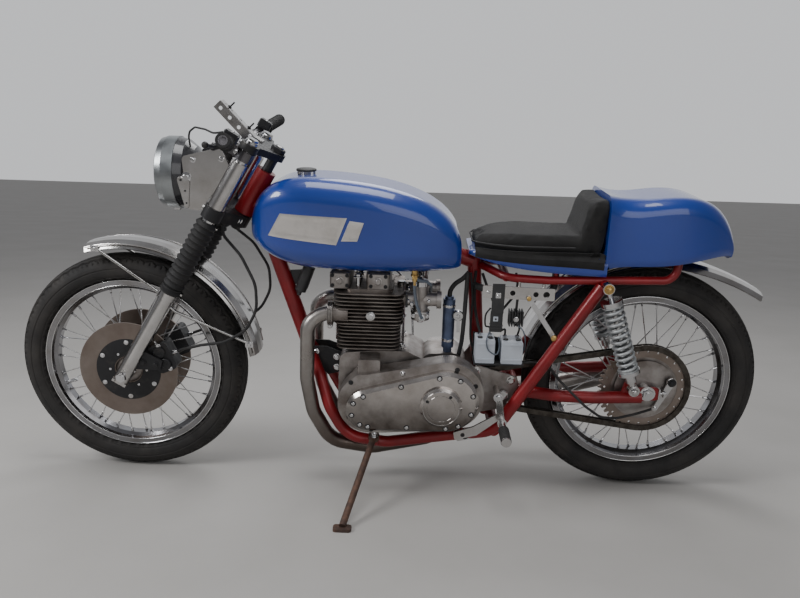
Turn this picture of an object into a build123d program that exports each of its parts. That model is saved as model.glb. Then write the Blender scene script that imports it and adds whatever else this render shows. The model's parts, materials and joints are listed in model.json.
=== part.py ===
"""A cafe racer motorcycle leaning on its side stand, as separate pieces with real joints.

The machine is modelled upright, with X to the rear, Y to the rider's right and Z up. X is 0 at the
front axle, Y is 0 in the middle plane and Z is 0 where the tyres touch the floor. parked() then
leans every piece onto the stand and moves it over the bottom centre of the whole machine's box.
All sizes are in millimetres and degrees.
"""
from build123d import *
from math import atan2, cos, degrees, hypot, pi, radians, sin
import os

# Running gear
WHEELBASE = 1455.0
RAKE = 30.4
FORK_OFFSET = 56.0
LEAN = 8.3
FRONT_TYRE_R = 327.0
FRONT_TYRE_HALF = 43.0
REAR_TYRE_R = 331.0
REAR_TYRE_HALF = 52.0
RIM_R = 255.0
RIM_WELL_R = 226.0
RIM_FLANGE_T = 3.0
FRONT_RIM_HALF = 29.0
REAR_RIM_HALF = 33.0
TYRE_BEAD_R = 241.0
SPOKE_COUNT = 40
SPOKE_R = 1.7

# Clearances
SEAT = 0.3
PIN_GAP = 0.3
DISC_GAP = 5.0

# Axles, hubs, discs and final drive
AXLE_R = 8.0
FRONT_HUB_R = 44.0
FRONT_FLANGE_R = 52.0
FRONT_FLANGE_Y = 30.0
REAR_FLANGE_R = 62.0
REAR_FLANGE_Y = 34.0
DRUM_R = 92.0
REAR_HUB_END = 78.0
DRUM_OUT = 76.5
DISC_R = 140.0
DISC_EYE_R = 84.0
DISC_Y = 62.0
DISC_T = 5.0
CALIPER_TURN = 24.0
CALIPER_LENGTH = 84.0
CALIPER_WIDTH = 56.0
CHAIN_PITCH = 15.875
REAR_TEETH = 48
FRONT_TEETH = 18
SPROCKET_T = 6.0
CHAIN_Y = -74.0
CHAIN_W = 17.0
CHAIN_H = 15.0
GEARBOX_X = 985.0
GEARBOX_Z = 318.0

# Fork, measured along the legs from the front axle
LEG_Y = 96.0
SLIDER_R = 22.0
SLIDER_TOP = 300.0
SLIDER_FOOT = -26.0
STANCHION_R = 17.5
STANCHION_FOOT = 242.0
STANCHION_TOP = 754.0
GAITER_LOW = 286.0
GAITER_TOP = 512.0
GAITER_R = 30.0
GAITER_RIBS = 13
LOWER_YOKE = (522.0, 556.0)
UPPER_YOKE = (730.0, 749.0)
HEAD_LUG = (558.0, 690.0)
STEM_R = 14.0
LUG_R = 27.0
YOKE_EYE_R = 27.0
CLIP_ON = (702.0, 728.0)
BAR_R = 11.0
BAR_END = 345.0
BAR_AHEAD = 44.0
BAR_RISE = 58.0
BAR_SWEEP = 22.0
GRIP_R = 16.5
GRIP_LENGTH = 118.0
LEVER_AHEAD = 24.0
LEVER_DROP = -24.0

# Headlamp
LAMP_X = 158.0
LAMP_Z = 883.0
LAMP_R = 96.0
LAMP_RIM_DEPTH = 50.0
LAMP_WALL = 3.0
SHROUD_TOP = 694.0
SHROUD_R = 23.0
LAMP_LEAD = (
    (205.0, -36.3, 954.6), (203.0, -46.0, 992.0), (234.0, -84.0, 1010.0), (276.0, -140.0, 1010.0),
    (312.0, -196.0, 1006.0), (336.6, -206.0, 1010.6),
)

# Front mudguard
GUARD_R = 368.0
GUARD_HALF = 58.0
GUARD_T = 2.5
GUARD_START = 8.0
GUARD_END = 106.0

# Frame
DOWNTUBE_R = 21.0
BACKBONE_R = 22.0
CRADLE_R = 16.0
LOOP_R = 17.0
SEAT_TUBE_R = 19.0
CRADLE_Y = 98.0
LOOP_LOW_Y = 126.0
LOOP_TOP_Y = 106.0
PIVOT_X = 1062.0
PIVOT_Z = 306.0
PIVOT_R = 22.0
ARM_R = 17.0
ARM_FRONT_Y = 67.0
ARM_REAR_Y = 110.0

# Shock absorbers
SHOCK_TOP = (1308.0, 636.0)
SHOCK_FOOT = (1406.0, 353.0)
SHOCK_Y = 143.0
SPRING_R = 28.0
SPRING_WIRE_R = 4.5
SPRING_COILS = 11

# Engine
ENGINE_X = 683.0
FIN_T = 2.6
FIN_PITCH = 10.5
BARREL_FINS = 7
BARREL_BASE_Z = 416.0
BARREL_SIZE = (176.0, 196.0)
HEAD_SIZE = (190.0, 212.0)
HEAD_FINS = 9
PRIMARY_Y = -150.0
PRIMARY_DEPTH = 26.0
CLUTCH_X = 888.0
CLUTCH_Z = 298.0
CLUTCH_R = 57.0
EXHAUST_R = 20.0
EXHAUST_Y = (-84.0, 84.0)
SILENCER_R = 38.0

# Tank and seat
TANK_SECTIONS = (
    # X, low Z, high Z, half width, corner radius
    (366.0, 716.0, 790.0, 62.0, 30.0),
    (392.0, 694.0, 842.0, 92.0, 42.0),
    (440.0, 668.0, 876.0, 114.0, 52.0),
    (560.0, 646.0, 890.0, 127.0, 60.0),
    (700.0, 643.0, 876.0, 130.0, 62.0),
    (820.0, 646.0, 842.0, 122.0, 60.0),
    (896.0, 651.0, 790.0, 104.0, 48.0),
    (928.0, 660.0, 728.0, 78.0, 28.0),
)
TUNNEL_HALF = 34.0
TANK_SADDLES = (460.0, 850.0)
CAP_X = 505.0
CAP_R = 23.0

# Side stand
STAND_FOOT = (645.0, -402.0)
FLOOR_DROP = 0.5
STAND_R = 9.0
STAND_SWING = 95.0
STEER_LOCK = 28.0

# Frame runs
DOWNTUBE_FOOT = (505.0, 0.0, 407.0)
BACKBONE_KNEE = (560.0, 0.0, 800.0)
BACKBONE_END = (966.0, 0.0, 664.0)
SEAT_TUBE_TOP = (968.0, 0.0, 674.0)
SEAT_TUBE_KNEE = (992.0, 0.0, 392.0)
SEAT_TUBE_FOOT = (1030.0, 0.0, 206.0)
CRADLE_RUN = (
    (505.0, 8.0, 403.0), (548.0, 62.0, 328.0), (577.0, CRADLE_Y, 250.0), (628.0, CRADLE_Y, 160.0),
    (740.0, CRADLE_Y, 146.0), (950.0, CRADLE_Y, 180.0), (1040.3, 128.0, 207.8), (1064.0, LOOP_LOW_Y, 246.0),
)
LOOP_FOOT = (1064.2, LOOP_LOW_Y, 246.3)
RAIL_RUN = (
    (990.0, 14.0, 655.0), (1050.0, 90.0, 642.0), (1160.0, 98.0, 640.0), (1490.0, 98.0, 650.0), (1500.0, 98.0, 716.0),
)
RAIL_R = 11.0
PIVOT_LUG_HALF = 48.0
SPINDLE_R = 9.0
SPINDLE_HALF = 100.0
SHOCK_EYE_HALF = 11.0
SHOCK_PIN_R = 7.0
PLATE_Y = -84.0
ROLLER_R = 3.6
CRANKCASE_HALF = 78.0
GEARBOX_HALF = 56.0
PRIMARY_CASE_DEPTH = 58.0
PRIMARY_CASE = ((692.0, 286.0, 86.0), (905.0, 316.0, 100.0))
PRIMARY_COVER = ((690.0, 276.0, 60.0), (902.0, 308.0, 88.0))
PLATE_T = 5.5
EXHAUST_Z = 524.0
CARB_Y = (-58.0, 58.0)
CARB_Z = 564.0
ROCKERS = ((604.0, 56.0), (708.0, 66.0))
ROCKER_RISE = 48.0
EXHAUST_DROP = (
    (560.0, 84.0, 524.0), (518.0, 96.0, 496.0), (515.0, 100.0, 334.0), (532.0, 98.0, 236.0), (580.0, 90.0, 142.0),
)
EXHAUST_LEFT_TAIL = ((700.0, -62.0, 110.0), (860.0, 10.0, 108.0), (975.0, 112.0, 124.0))
EXHAUST_RIGHT_TAIL = ((700.0, 64.0, 110.0), (900.0, 90.0, 112.0), (1052.3, 172.0, 169.4), (1110.0, 172.0, 186.0))
SILENCER_END = (1500.0, 172.0, 298.0)
SILENCER_BOLT = (1108.0, 318.0)
PLATE_IN = 86.0
HANGER_IN = 150.0
PEG_END = 268.0
ELEC_Y = -100.0
SEAT_WALL = 4.0
STRUT = ((1112.0, 590.0), (1186.0, 484.0))
CABLE_R = 3.5
BRAKE_CABLE = (
    (1110.3, -92.0, 400.0), (1142.0, -92.0, 403.0), (1180.0, -93.0, 398.0), (1208.0, -100.0, 362.0),
    (1242.0, -126.0, 334.0), (1284.0, -136.0, 296.0), (1330.0, -128.0, 262.0), (1378.0, -112.0, 252.0),
    (1430.0, -103.0, 262.0), (1478.0, -96.4, 276.3),
)
BREATHER = (904.0, -38.0, 407.0, 562.0)
BREATHER_R = 17.0
COIL_LOW = (487.0, 0.0, 566.0)
COIL_HIGH = (513.0, 0.0, 636.0)
COIL_R = 16.0
PAN_SECTIONS = (
    (948.0, 698.0, 710.0, 70.0, 5.0), (1030.0, 676.0, 712.0, 112.0, 16.0),
    (1180.0, 656.0, 708.0, 121.0, 20.0), (1306.0, 652.0, 706.0, 122.0, 20.0),
)
HUMP_SECTIONS = (
    (1300.0, 654.0, 869.0, 121.0, 40.0), (1440.0, 668.0, 866.0, 122.0, 42.0),
    (1570.0, 690.0, 852.0, 110.0, 44.0), (1616.0, 700.0, 812.0, 92.0, 40.0), (1642.0, 708.0, 752.0, 76.0, 20.0),
)
HUMP_INNER = (
    (1304.0, 654.0, 869.0, 121.0, 40.0), (1440.0, 668.0, 866.0, 122.0, 42.0),
    (1566.0, 690.0, 852.0, 110.0, 44.0), (1611.0, 700.0, 812.0, 92.0, 40.0), (1637.0, 708.0, 752.0, 76.0, 20.0),
)
PAD_SECTIONS = (
    (956.0, 712.0, 738.0, 66.0, 10.0), (1030.0, 712.6, 752.0, 108.0, 16.0),
    (1180.0, 708.6, 754.0, 114.0, 18.0), (1262.0, 708.0, 756.0, 113.0, 18.0),
)
REAR_GUARD_R = 362.0
REAR_GUARD_KICK = 84.0
REAR_GUARD_TAIL_R = 645.0
REAR_GUARD_TAIL_TURN = 24.4
REAR_GUARD_FRONT = 158.0
REAR_GUARD_HALF = 64.0
GUARD_STAY_Z = 645.0
STAND_PIVOT = (706.0, -128.0, 176.0)
STAND_AXIS = Vector(0.05, -0.39, 0.92).normalized()
STAND_EYE_HALF = 9.0
STAND_PIN_R = 6.0

FRONT_AXLE = Vector(0, 0, FRONT_TYRE_R)
REAR_AXLE = Vector(WHEELBASE, 0, REAR_TYRE_R)
FORK_UP = Vector(sin(radians(RAKE)), 0, cos(radians(RAKE)))
FORK_AHEAD = Vector(-cos(radians(RAKE)), 0, sin(radians(RAKE)))
RIGHT = Vector(0, 1, 0)
SIDES = (-1, 1)


# Shared shapes
def leg_point(along, side=0.0, ahead=0.0):
    """A point of the fork: distance up the legs from the axle, Y, and distance ahead of the legs."""
    return FRONT_AXLE + FORK_UP * along + RIGHT * side + FORK_AHEAD * ahead


def rod(start, end, radius):
    """A round bar between two points."""
    start = Vector(start)
    way = Vector(end) - start
    return extrude(Plane(origin=start, z_dir=way) * Circle(radius), way.length)


def collar(start, end, outer, inner):
    """A round tube between two points."""
    start = Vector(start)
    way = Vector(end) - start
    return extrude(Plane(origin=start, z_dir=way) * (Circle(outer) - Circle(inner)), way.length)


def bent_rod(points, radius, bends):
    """A round bar along straight runs joined by arcs."""
    path = FilletPolyline(*points, radius=bends)
    return sweep(Plane(origin=path @ 0, z_dir=path % 0) * Circle(radius), path)


def rounded(rows):
    """A face from rows of across, up and corner radius."""
    points = [(row[0], row[1]) for row in rows]
    return make_face(FilletPolyline(*points, radius=[row[2] for row in rows], close=True))


def polygon(points):
    """A face with straight edges."""
    return make_face(Polyline(*points, close=True))


def slab(face, low, high):
    """A face drawn in X and Z, made solid between two values of Y."""
    return extrude(Plane.XZ.offset(-high) * face, high - low)


def domed(face, base, top, edge):
    """A slab from base to top in Y whose outer edge slopes in at 45 degrees."""
    way = 1 if top > base else -1
    body = slab(face, min(base, top - way * edge), max(base, top - way * edge))
    rim = Plane(origin=(0, top - way * edge, 0), x_dir=(1, 0, 0), z_dir=(0, -1, 0))
    crown = extrude(rim * face, -way * edge, taper=45) if way > 0 else extrude(rim * face, edge, taper=45)
    return body + crown


def turned(points, centre):
    """A solid of revolution about Y, from points of Y and radius, moved to a centre."""
    face = Plane(origin=(0, 0, 0), x_dir=(0, 1, 0), z_dir=(1, 0, 0)) * polygon(points)
    return Pos(*centre) * revolve(face, Axis.Y, 360)


def disc_y(centre, radius, low, high):
    """A round plate across Y."""
    return rod((centre.X, low, centre.Z), (centre.X, high, centre.Z), radius)


def polar(centre, radius, angle, y=0.0):
    """A point in the side view, at an angle up from the rear."""
    return Vector(centre.X + radius * cos(radians(angle)), y, centre.Z + radius * sin(radians(angle)))


def joined(shapes):
    """All shapes fused into one."""
    whole = shapes[0]
    for shape in shapes[1:]:
        whole = whole + shape
    return whole


def group(shapes):
    """Separate solids of one node."""
    solids = []
    for shape in shapes:
        solids.extend(shape.solids())
    return Compound(solids)


# Wheels
def make_tyre(centre, outer, half, rim_half):
    """A tyre from a section of straight flanks and a round tread, with its beads inside the rim."""
    bead = rim_half - RIM_FLANGE_T - SEAT
    rows = (
        (bead, TYRE_BEAD_R + SEAT),
        (bead, RIM_R + 1.5),
        (half * 0.86, RIM_R + 6),
        (half, outer - 46),
        (half * 0.95, outer - 28),
        (half * 0.8, outer - 14.5),
        (half * 0.56, outer - 5.6),
        (half * 0.29, outer - 1.5),
        (0.0, outer),
    )
    points = list(rows) + [(-across, radius) for across, radius in reversed(rows[:-1])]
    return turned(points, centre)


def make_rim(centre, half):
    """A chromed steel rim with its well and two flanges."""
    rows = (
        (half, RIM_R),
        (half, RIM_R - 17),
        (half - 10, RIM_R - 20),
        (half * 0.42, RIM_WELL_R),
        (0.0, RIM_WELL_R),
    )
    inner = (
        (0.0, RIM_WELL_R + 3),
        (half * 0.36, RIM_WELL_R + 3),
        (half * 0.55, TYRE_BEAD_R),
        (half - RIM_FLANGE_T, TYRE_BEAD_R),
        (half - RIM_FLANGE_T, RIM_R),
    )
    outside = list(rows) + [(-across, radius) for across, radius in reversed(rows[:-1])]
    inside = [(-across, radius) for across, radius in reversed(inner)] + list(inner[1:])
    return turned(outside + inside, centre)


def make_spokes(centre, flange_r, flange_y):
    """Crossed spokes from both hub flanges to the rim, each a slim six-sided bar."""
    pairs = SPOKE_COUNT // 4
    reach = RIM_WELL_R - SEAT - SPOKE_R * 0.3
    start = flange_r + SEAT + SPOKE_R * 0.85
    rows = []
    for side in SIDES:
        for index in range(pairs):
            base = 360.0 / pairs * (index + (0.25 if side > 0 else 0.0))
            for turn, step in ((1, 2.6), (-1, -2.6)):
                rows.append((side, base, turn, step))
    bars = []
    for side, base, turn, step in rows:
        hub = polar(centre, start, base + turn * 9, side * (flange_y + step))
        rim = polar(centre, reach, base + turn * 47, side * (7 + step))
        way = rim - hub
        bars.append(extrude(Plane(origin=hub, z_dir=way) * RegularPolygon(SPOKE_R, 6), way.length))
    return group(bars)


def make_front_hub():
    """The alloy front hub: a barrel, two spoke flanges and two disc carriers."""
    disc_in = DISC_Y - DISC_T / 2 - SEAT
    rows = (
        (0.0, FRONT_HUB_R - 14),
        (FRONT_FLANGE_Y - 9, FRONT_HUB_R - 8),
        (FRONT_FLANGE_Y - 5, FRONT_FLANGE_R),
        (FRONT_FLANGE_Y + 5, FRONT_FLANGE_R),
        (FRONT_FLANGE_Y + 7, FRONT_HUB_R),
        (disc_in - 5, FRONT_HUB_R),
        (disc_in - 5, DISC_EYE_R - 6),
        (disc_in, DISC_EYE_R - 6),
        (disc_in, 38.0),
        (LEG_Y - SLIDER_R - 6, 22.0),
        (LEG_Y - SLIDER_R - 6, AXLE_R + PIN_GAP),
    )
    points = list(rows) + [(-across, radius) for across, radius in reversed(rows[1:])]
    return turned(points, FRONT_AXLE)


def make_discs():
    """Two plain brake discs with dark carriers in the middle."""
    discs = []
    for side in SIDES:
        inner, outer = side * (DISC_Y - DISC_T / 2), side * (DISC_Y + DISC_T / 2)
        low, high = min(inner, outer), max(inner, outer)
        plate = disc_y(FRONT_AXLE, DISC_R, low, high) - disc_y(FRONT_AXLE, 38 + SEAT, low - 1, high + 1)
        discs.append(plate)
    return group(discs)


def make_rear_hub():
    """The rear hub: a brake drum on the left and a spoke flange each side."""
    rows = (
        (-DRUM_OUT, DRUM_R),
        (-DRUM_OUT + 22, DRUM_R),
        (-DRUM_OUT + 24, REAR_FLANGE_R),
        (-REAR_FLANGE_Y + 10, REAR_FLANGE_R),
        (-REAR_FLANGE_Y + 12, 34.0),
        (REAR_FLANGE_Y - 6, 34.0),
        (REAR_FLANGE_Y - 5, REAR_FLANGE_R),
        (REAR_FLANGE_Y + 5, REAR_FLANGE_R),
        (REAR_FLANGE_Y + 12, 40.0),
        (REAR_HUB_END, 24.0),
        (REAR_HUB_END, AXLE_R + PIN_GAP),
        (-DRUM_OUT, AXLE_R + PIN_GAP),
    )
    return turned(rows, REAR_AXLE)


def pitch_radius(teeth):
    """The radius of a sprocket's pitch circle."""
    return CHAIN_PITCH / 2 / sin(pi / teeth)


def make_sprocket():
    """The toothed and drilled ring bolted round the brake drum."""
    root = pitch_radius(REAR_TEETH) - 5.0
    tip = pitch_radius(REAR_TEETH) + 5.5
    points = []
    for tooth in range(REAR_TEETH):
        middle = 360.0 / REAR_TEETH * tooth
        for turn, radius in ((-2.6, root), (-0.9, tip), (0.9, tip), (2.6, root)):
            angle = radians(middle + turn)
            points.append((radius * cos(angle), radius * sin(angle)))
    face = polygon(points) - Circle(DRUM_R + SEAT)
    face -= PolarLocations(root - 8, 24) * Circle(3.5)
    ring = slab(Pos(REAR_AXLE.X, REAR_AXLE.Z) * face, CHAIN_Y - SPROCKET_T / 2, CHAIN_Y + SPROCKET_T / 2)
    return ring


# Fork and steering
def make_sliders():
    """The two polished lower fork legs, bored for the stanchions and the axle."""
    legs = []
    for side in SIDES:
        y = side * LEG_Y
        leg = rod(leg_point(SLIDER_FOOT, y), leg_point(SLIDER_TOP, y), SLIDER_R)
        leg += rod(leg_point(SLIDER_TOP - 34, y), leg_point(SLIDER_TOP, y), SLIDER_R + 2.5)
        leg -= rod(leg_point(STANCHION_FOOT - 1, y), leg_point(SLIDER_TOP + 1, y), STANCHION_R + SEAT)
        leg -= rod((0, y - 40, FRONT_TYRE_R), (0, y + 40, FRONT_TYRE_R), AXLE_R + SEAT)
        legs.append(leg)
    return group(legs)


def make_stanchions():
    """The bright fork tubes, with a cap on top."""
    tubes = []
    for side in SIDES:
        y = side * LEG_Y
        tube = rod(leg_point(STANCHION_FOOT, y), leg_point(STANCHION_TOP, y), STANCHION_R)
        cap = extrude(Plane(origin=leg_point(STANCHION_TOP, y), z_dir=FORK_UP) * RegularPolygon(15, 6), 9)
        tubes.append(tube + cap)
    return group(tubes)


def make_gaiters():
    """The ribbed rubber gaiters over the fork tubes."""
    gaiters = []
    step = (GAITER_TOP - GAITER_LOW - 20) / GAITER_RIBS
    for side in SIDES:
        base = leg_point(GAITER_LOW, side * LEG_Y)
        points = [(SLIDER_R + 2.5 + SEAT, 0.0), (GAITER_R - 2, 0.0), (GAITER_R - 2, 18.0)]
        for rib in range(GAITER_RIBS):
            foot = 18.0 + rib * step
            points += [(GAITER_R - 5, foot + 1), (GAITER_R, foot + step / 2), (GAITER_R - 5, foot + step - 1)]
        top = GAITER_TOP - GAITER_LOW
        shoulder = SLIDER_TOP - GAITER_LOW + SEAT
        points += [(STANCHION_R + 5, top), (STANCHION_R + SEAT, top), (STANCHION_R + SEAT, shoulder)]
        points += [(SLIDER_R + 2.5 + SEAT, shoulder)]
        place = Plane(origin=base, x_dir=RIGHT, z_dir=FORK_UP)
        profile = Plane.XZ * polygon(points)
        gaiters.append(place.location * revolve(profile, Axis.Z, 360))
    return group(gaiters)


def yoke_plate(along, thickness, eye, web):
    """A yoke: two eyes for the fork tubes and one for the stem, joined by a web."""
    place = Plane(origin=leg_point(along), x_dir=RIGHT, z_dir=FORK_UP)
    outline = polygon((
        (-LEG_Y, web), (LEG_Y, web), (LEG_Y, -web), (eye * 0.9, -FORK_OFFSET - eye * 0.7),
        (-eye * 0.9, -FORK_OFFSET - eye * 0.7), (-LEG_Y, -web),
    ))
    for side in SIDES:
        outline += Pos(side * LEG_Y, 0) * Circle(eye)
    outline += Pos(0, -FORK_OFFSET) * Circle(eye)
    flip = Location((0, 0, 0), (0, 0, 1), 0)
    plate = extrude(place * (flip * outline), thickness)
    for side in SIDES:
        low, high = leg_point(along - 1, side * LEG_Y), leg_point(along + thickness + 1, side * LEG_Y)
        plate -= rod(low, high, STANCHION_R + SEAT)
    return plate


def make_lower_yoke():
    """The lower yoke and its stem, one forging."""
    low, high = LOWER_YOKE
    yoke = yoke_plate(low, high - low, YOKE_EYE_R, 17.0)
    top = leg_point(UPPER_YOKE[1] + 2, 0, -FORK_OFFSET)
    return yoke + rod(leg_point(low + 5, 0, -FORK_OFFSET), top, STEM_R)


def make_upper_yoke():
    """The black top yoke with its stem nut."""
    low, high = UPPER_YOKE
    plate = yoke_plate(low, high - low, YOKE_EYE_R - 2, 15.0)
    bottom, top = leg_point(low - 1, 0, -FORK_OFFSET), leg_point(high + 1, 0, -FORK_OFFSET)
    plate -= rod(bottom, top, STEM_R + SEAT)
    seat = leg_point(UPPER_YOKE[1] + 2 + SEAT, 0, -FORK_OFFSET)
    nut = extrude(Plane(origin=seat, z_dir=FORK_UP) * RegularPolygon(20, 6), 10)
    washer = collar(leg_point(high, 0, -FORK_OFFSET), seat, 20, STEM_R + SEAT)
    return plate + washer + nut


def bar_point(side, back_from_end=0.0, up=0.0, ahead=0.0):
    """A point of a handlebar: distance back from its end, and distances off its axis."""
    middle = (CLIP_ON[0] + CLIP_ON[1]) / 2
    foot = leg_point(middle, side * LEG_Y, BAR_AHEAD)
    tip = leg_point(middle + BAR_RISE, side * BAR_END, BAR_AHEAD - BAR_SWEEP)
    return tip + (foot - tip).normalized() * back_from_end + FORK_UP * up + FORK_AHEAD * ahead


def make_clip_ons():
    """The two clip-on handlebars: a split clamp round each fork tube and a bar ahead of it, rising outwards."""
    bars = []
    low, high = CLIP_ON
    middle = (low + high) / 2
    for side in SIDES:
        y = side * LEG_Y
        clamp = rod(leg_point(low, y), leg_point(high, y), STANCHION_R + 7)
        clamp += rod(leg_point(low, y, BAR_AHEAD), leg_point(high, y, BAR_AHEAD), BAR_R + 4)
        place = Plane(origin=leg_point(low, y, BAR_AHEAD / 2), x_dir=RIGHT, z_dir=FORK_UP)
        clamp += extrude(place * Rectangle(24, BAR_AHEAD), high - low)
        clamp += rod(leg_point(middle, y, BAR_AHEAD), bar_point(side), BAR_R)
        clamp -= rod(leg_point(low - 1, y), leg_point(high + 1, y), STANCHION_R + SEAT)
        clamp -= rod(bar_point(side, 40), bar_point(side, -1), BAR_R - 2.5)
        bars.append(clamp)
    return group(bars)


def make_grips():
    """The rubber grips on the bar ends."""
    grips = []
    for side in SIDES:
        inner, outer = bar_point(side, GRIP_LENGTH), bar_point(side)
        grip = rod(inner, outer, GRIP_R) + rod(inner, bar_point(side, GRIP_LENGTH - 5), GRIP_R + 4)
        grips.append(grip - rod(bar_point(side, GRIP_LENGTH + 1), bar_point(side, -1), BAR_R + SEAT))
    return group(grips)


def make_levers():
    """The switch and lever perches with their ball-ended levers."""
    levers = []
    start, end = GRIP_LENGTH + 40, GRIP_LENGTH + 4
    middle = (start + end) / 2
    for side in SIDES:
        perch = rod(bar_point(side, start), bar_point(side, end), BAR_R + 6)
        place = Plane(origin=bar_point(side, middle + 6, 8), x_dir=RIGHT, z_dir=FORK_UP)
        perch += extrude(place * RectangleRounded(28, 38, 5), 22)
        pivot = bar_point(side, middle, LEVER_DROP, LEVER_AHEAD)
        perch += rod(bar_point(side, middle, -6, 6), pivot, 8)
        tip = bar_point(side, 14, LEVER_DROP - 6, LEVER_AHEAD + 6)
        lever = rod(pivot, tip, 5) + Pos(*tip) * Sphere(8) + Pos(*pivot) * Sphere(9)
        body = perch + lever
        body -= rod(bar_point(side, start + 5), bar_point(side, end - 5), BAR_R + SEAT)
        levers.append(body)
    return group(levers)


def lamp_revolve(points):
    """A solid of revolution about the lamp's level axis, from points of X behind the rim and radius."""
    profile = Plane.XZ * polygon(points)
    return Pos(LAMP_X, 0, LAMP_Z) * revolve(profile, Axis.X, 360)


def make_lamp_rim():
    """The deep bright rim of the headlamp."""
    front = -LAMP_RIM_DEPTH / 2 - 14
    back = front + LAMP_RIM_DEPTH
    return lamp_revolve((
        (front, LAMP_R - 12), (front + 4, LAMP_R - 5), (front + 20, LAMP_R), (back, LAMP_R),
        (back, LAMP_R - LAMP_WALL), (front + 20, LAMP_R - LAMP_WALL), (front + 8, LAMP_R - 12),
    ))


def make_lamp_lens():
    """The domed front glass."""
    front = -LAMP_RIM_DEPTH / 2 - 14
    edge = LAMP_R - 12 - SEAT
    return lamp_revolve((
        (front - 14, 0), (front - 11, edge * 0.5), (front - 4, edge * 0.86), (front + 1, edge),
        (front + 6, edge), (front + 6, 0),
    ))


def shell_outline(grow):
    """The outline of the headlamp bowl, from rim to tip, made larger by a clearance."""
    start = -LAMP_RIM_DEPTH / 2 - 14 + LAMP_RIM_DEPTH + SEAT
    return (
        (start, LAMP_R - 2 + grow), (start + 22 + grow * 0.4, LAMP_R - 8 + grow * 0.9),
        (start + 44 + grow * 0.8, LAMP_R - 26 + grow * 0.6), (start + 60 + grow, LAMP_R - 54 + grow * 0.4),
        (start + 66 + grow, 0),
    )


def make_lamp_shell():
    """The black bowl behind the rim, open to the front inside."""
    start = -LAMP_RIM_DEPTH / 2 - 14 + LAMP_RIM_DEPTH + SEAT
    outer = shell_outline(0)
    inner = (
        (start + 62, 0), (start + 56, LAMP_R - 58), (start + 41, LAMP_R - 31),
        (start + 20, LAMP_R - 12), (start, LAMP_R - 6),
    )
    return lamp_revolve(outer + inner)


def make_lamp_brackets():
    """Flat alloy plates from the fork tubes to the lamp, one each side."""
    plates = []
    for side in SIDES:
        y = side * (LEG_Y - 8)
        inner, outer = y - 2, y + 2
        face = rounded((
            (196.0, 936.0, 12.0), (300.0, 962.0, 12.0), (322.0, 905.0, 8.0),
            (286.0, 858.0, 10.0), (236.0, 796.0, 10.0), (206.0, 800.0, 10.0),
        ))
        plate = slab(face, min(inner, outer), max(inner, outer))
        eye_low, eye_high = leg_point(LOWER_YOKE[1] + SEAT, side * LEG_Y), leg_point(SHROUD_TOP, side * LEG_Y)
        plate += rod(eye_low, eye_high, SHROUD_R)
        bore_low, bore_high = leg_point(LOWER_YOKE[1] - 5, side * LEG_Y), leg_point(SHROUD_TOP + 5, side * LEG_Y)
        plate -= rod(bore_low, bore_high, STANCHION_R + SEAT)
        stud_start = Vector(206, side * (LAMP_R - 20), LAMP_Z)
        plates.append(plate + rod(stud_start, (206, y, LAMP_Z), 6))
    front = -LAMP_RIM_DEPTH / 2 - 14
    rim_end = front + LAMP_RIM_DEPTH + SEAT
    shell = lamp_revolve(((front - 20, 0), (front - 20, LAMP_R + SEAT), (rim_end, LAMP_R + SEAT)) + shell_outline(SEAT))
    return group([plate - shell for plate in plates])


def make_dash_bracket():
    """The drilled alloy strip that stands up from the top yoke."""
    foot = leg_point(UPPER_YOKE[1] + SEAT)
    top = Vector(284, 0, 1074)
    way = top - foot
    place = Plane(origin=foot + way * 0.035, x_dir=RIGHT, z_dir=way)
    strip = extrude(place * Rectangle(34, 3), way.length * 0.965)
    base = Plane(origin=foot, x_dir=RIGHT, z_dir=FORK_UP)
    strip += extrude(base * Rectangle(34, 22), 5)
    for share in (0.9, 0.74, 0.5):
        spot = foot + way * share
        across = Vector(way.Z, 0, -way.X).normalized()
        strip -= rod(spot - across * 9, spot + across * 9, 4.2)
    return strip


def make_calipers():
    """The two brake calipers behind the fork legs, each astride its disc."""
    calipers = []
    for side in SIDES:
        centre = polar(FRONT_AXLE, DISC_R - 22, CALIPER_TURN)
        face = Pos(centre.X, centre.Z) * (Rot(0, 0, CALIPER_TURN) * RectangleRounded(CALIPER_WIDTH, CALIPER_LENGTH, 12))
        inner, outer = side * (DISC_Y - 22), side * (DISC_Y + 27)
        body = slab(face, min(inner, outer), max(inner, outer))
        lug_y = (side * (LEG_Y - SLIDER_R + 2), side * (LEG_Y + 6))
        lug = slab(polygon(((20, 345), (60, 400), (112, 372), (104, 344))), min(lug_y), max(lug_y))
        body += lug
        gap_in, gap_out = side * (DISC_Y - DISC_T / 2 - DISC_GAP), side * (DISC_Y + DISC_T / 2 + DISC_GAP)
        body -= disc_y(FRONT_AXLE, DISC_R + DISC_GAP, min(gap_in, gap_out), max(gap_in, gap_out))
        y = side * LEG_Y
        body -= rod(leg_point(-40, y), leg_point(SLIDER_TOP, y), SLIDER_R + SEAT)
        calipers.append(body)
    return group(calipers)


def make_front_axle():
    """The front wheel spindle with its nuts."""
    reach = LEG_Y + SLIDER_R
    bar = rod((0, -reach - 12, FRONT_TYRE_R), (0, reach + 12, FRONT_TYRE_R), AXLE_R)
    for side in SIDES:
        face = side * (reach + SEAT)
        seat = Plane(origin=(0, face, FRONT_TYRE_R), z_dir=(0, side, 0))
        bar += extrude(seat * RegularPolygon(14, 6), 10)
    return bar


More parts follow.
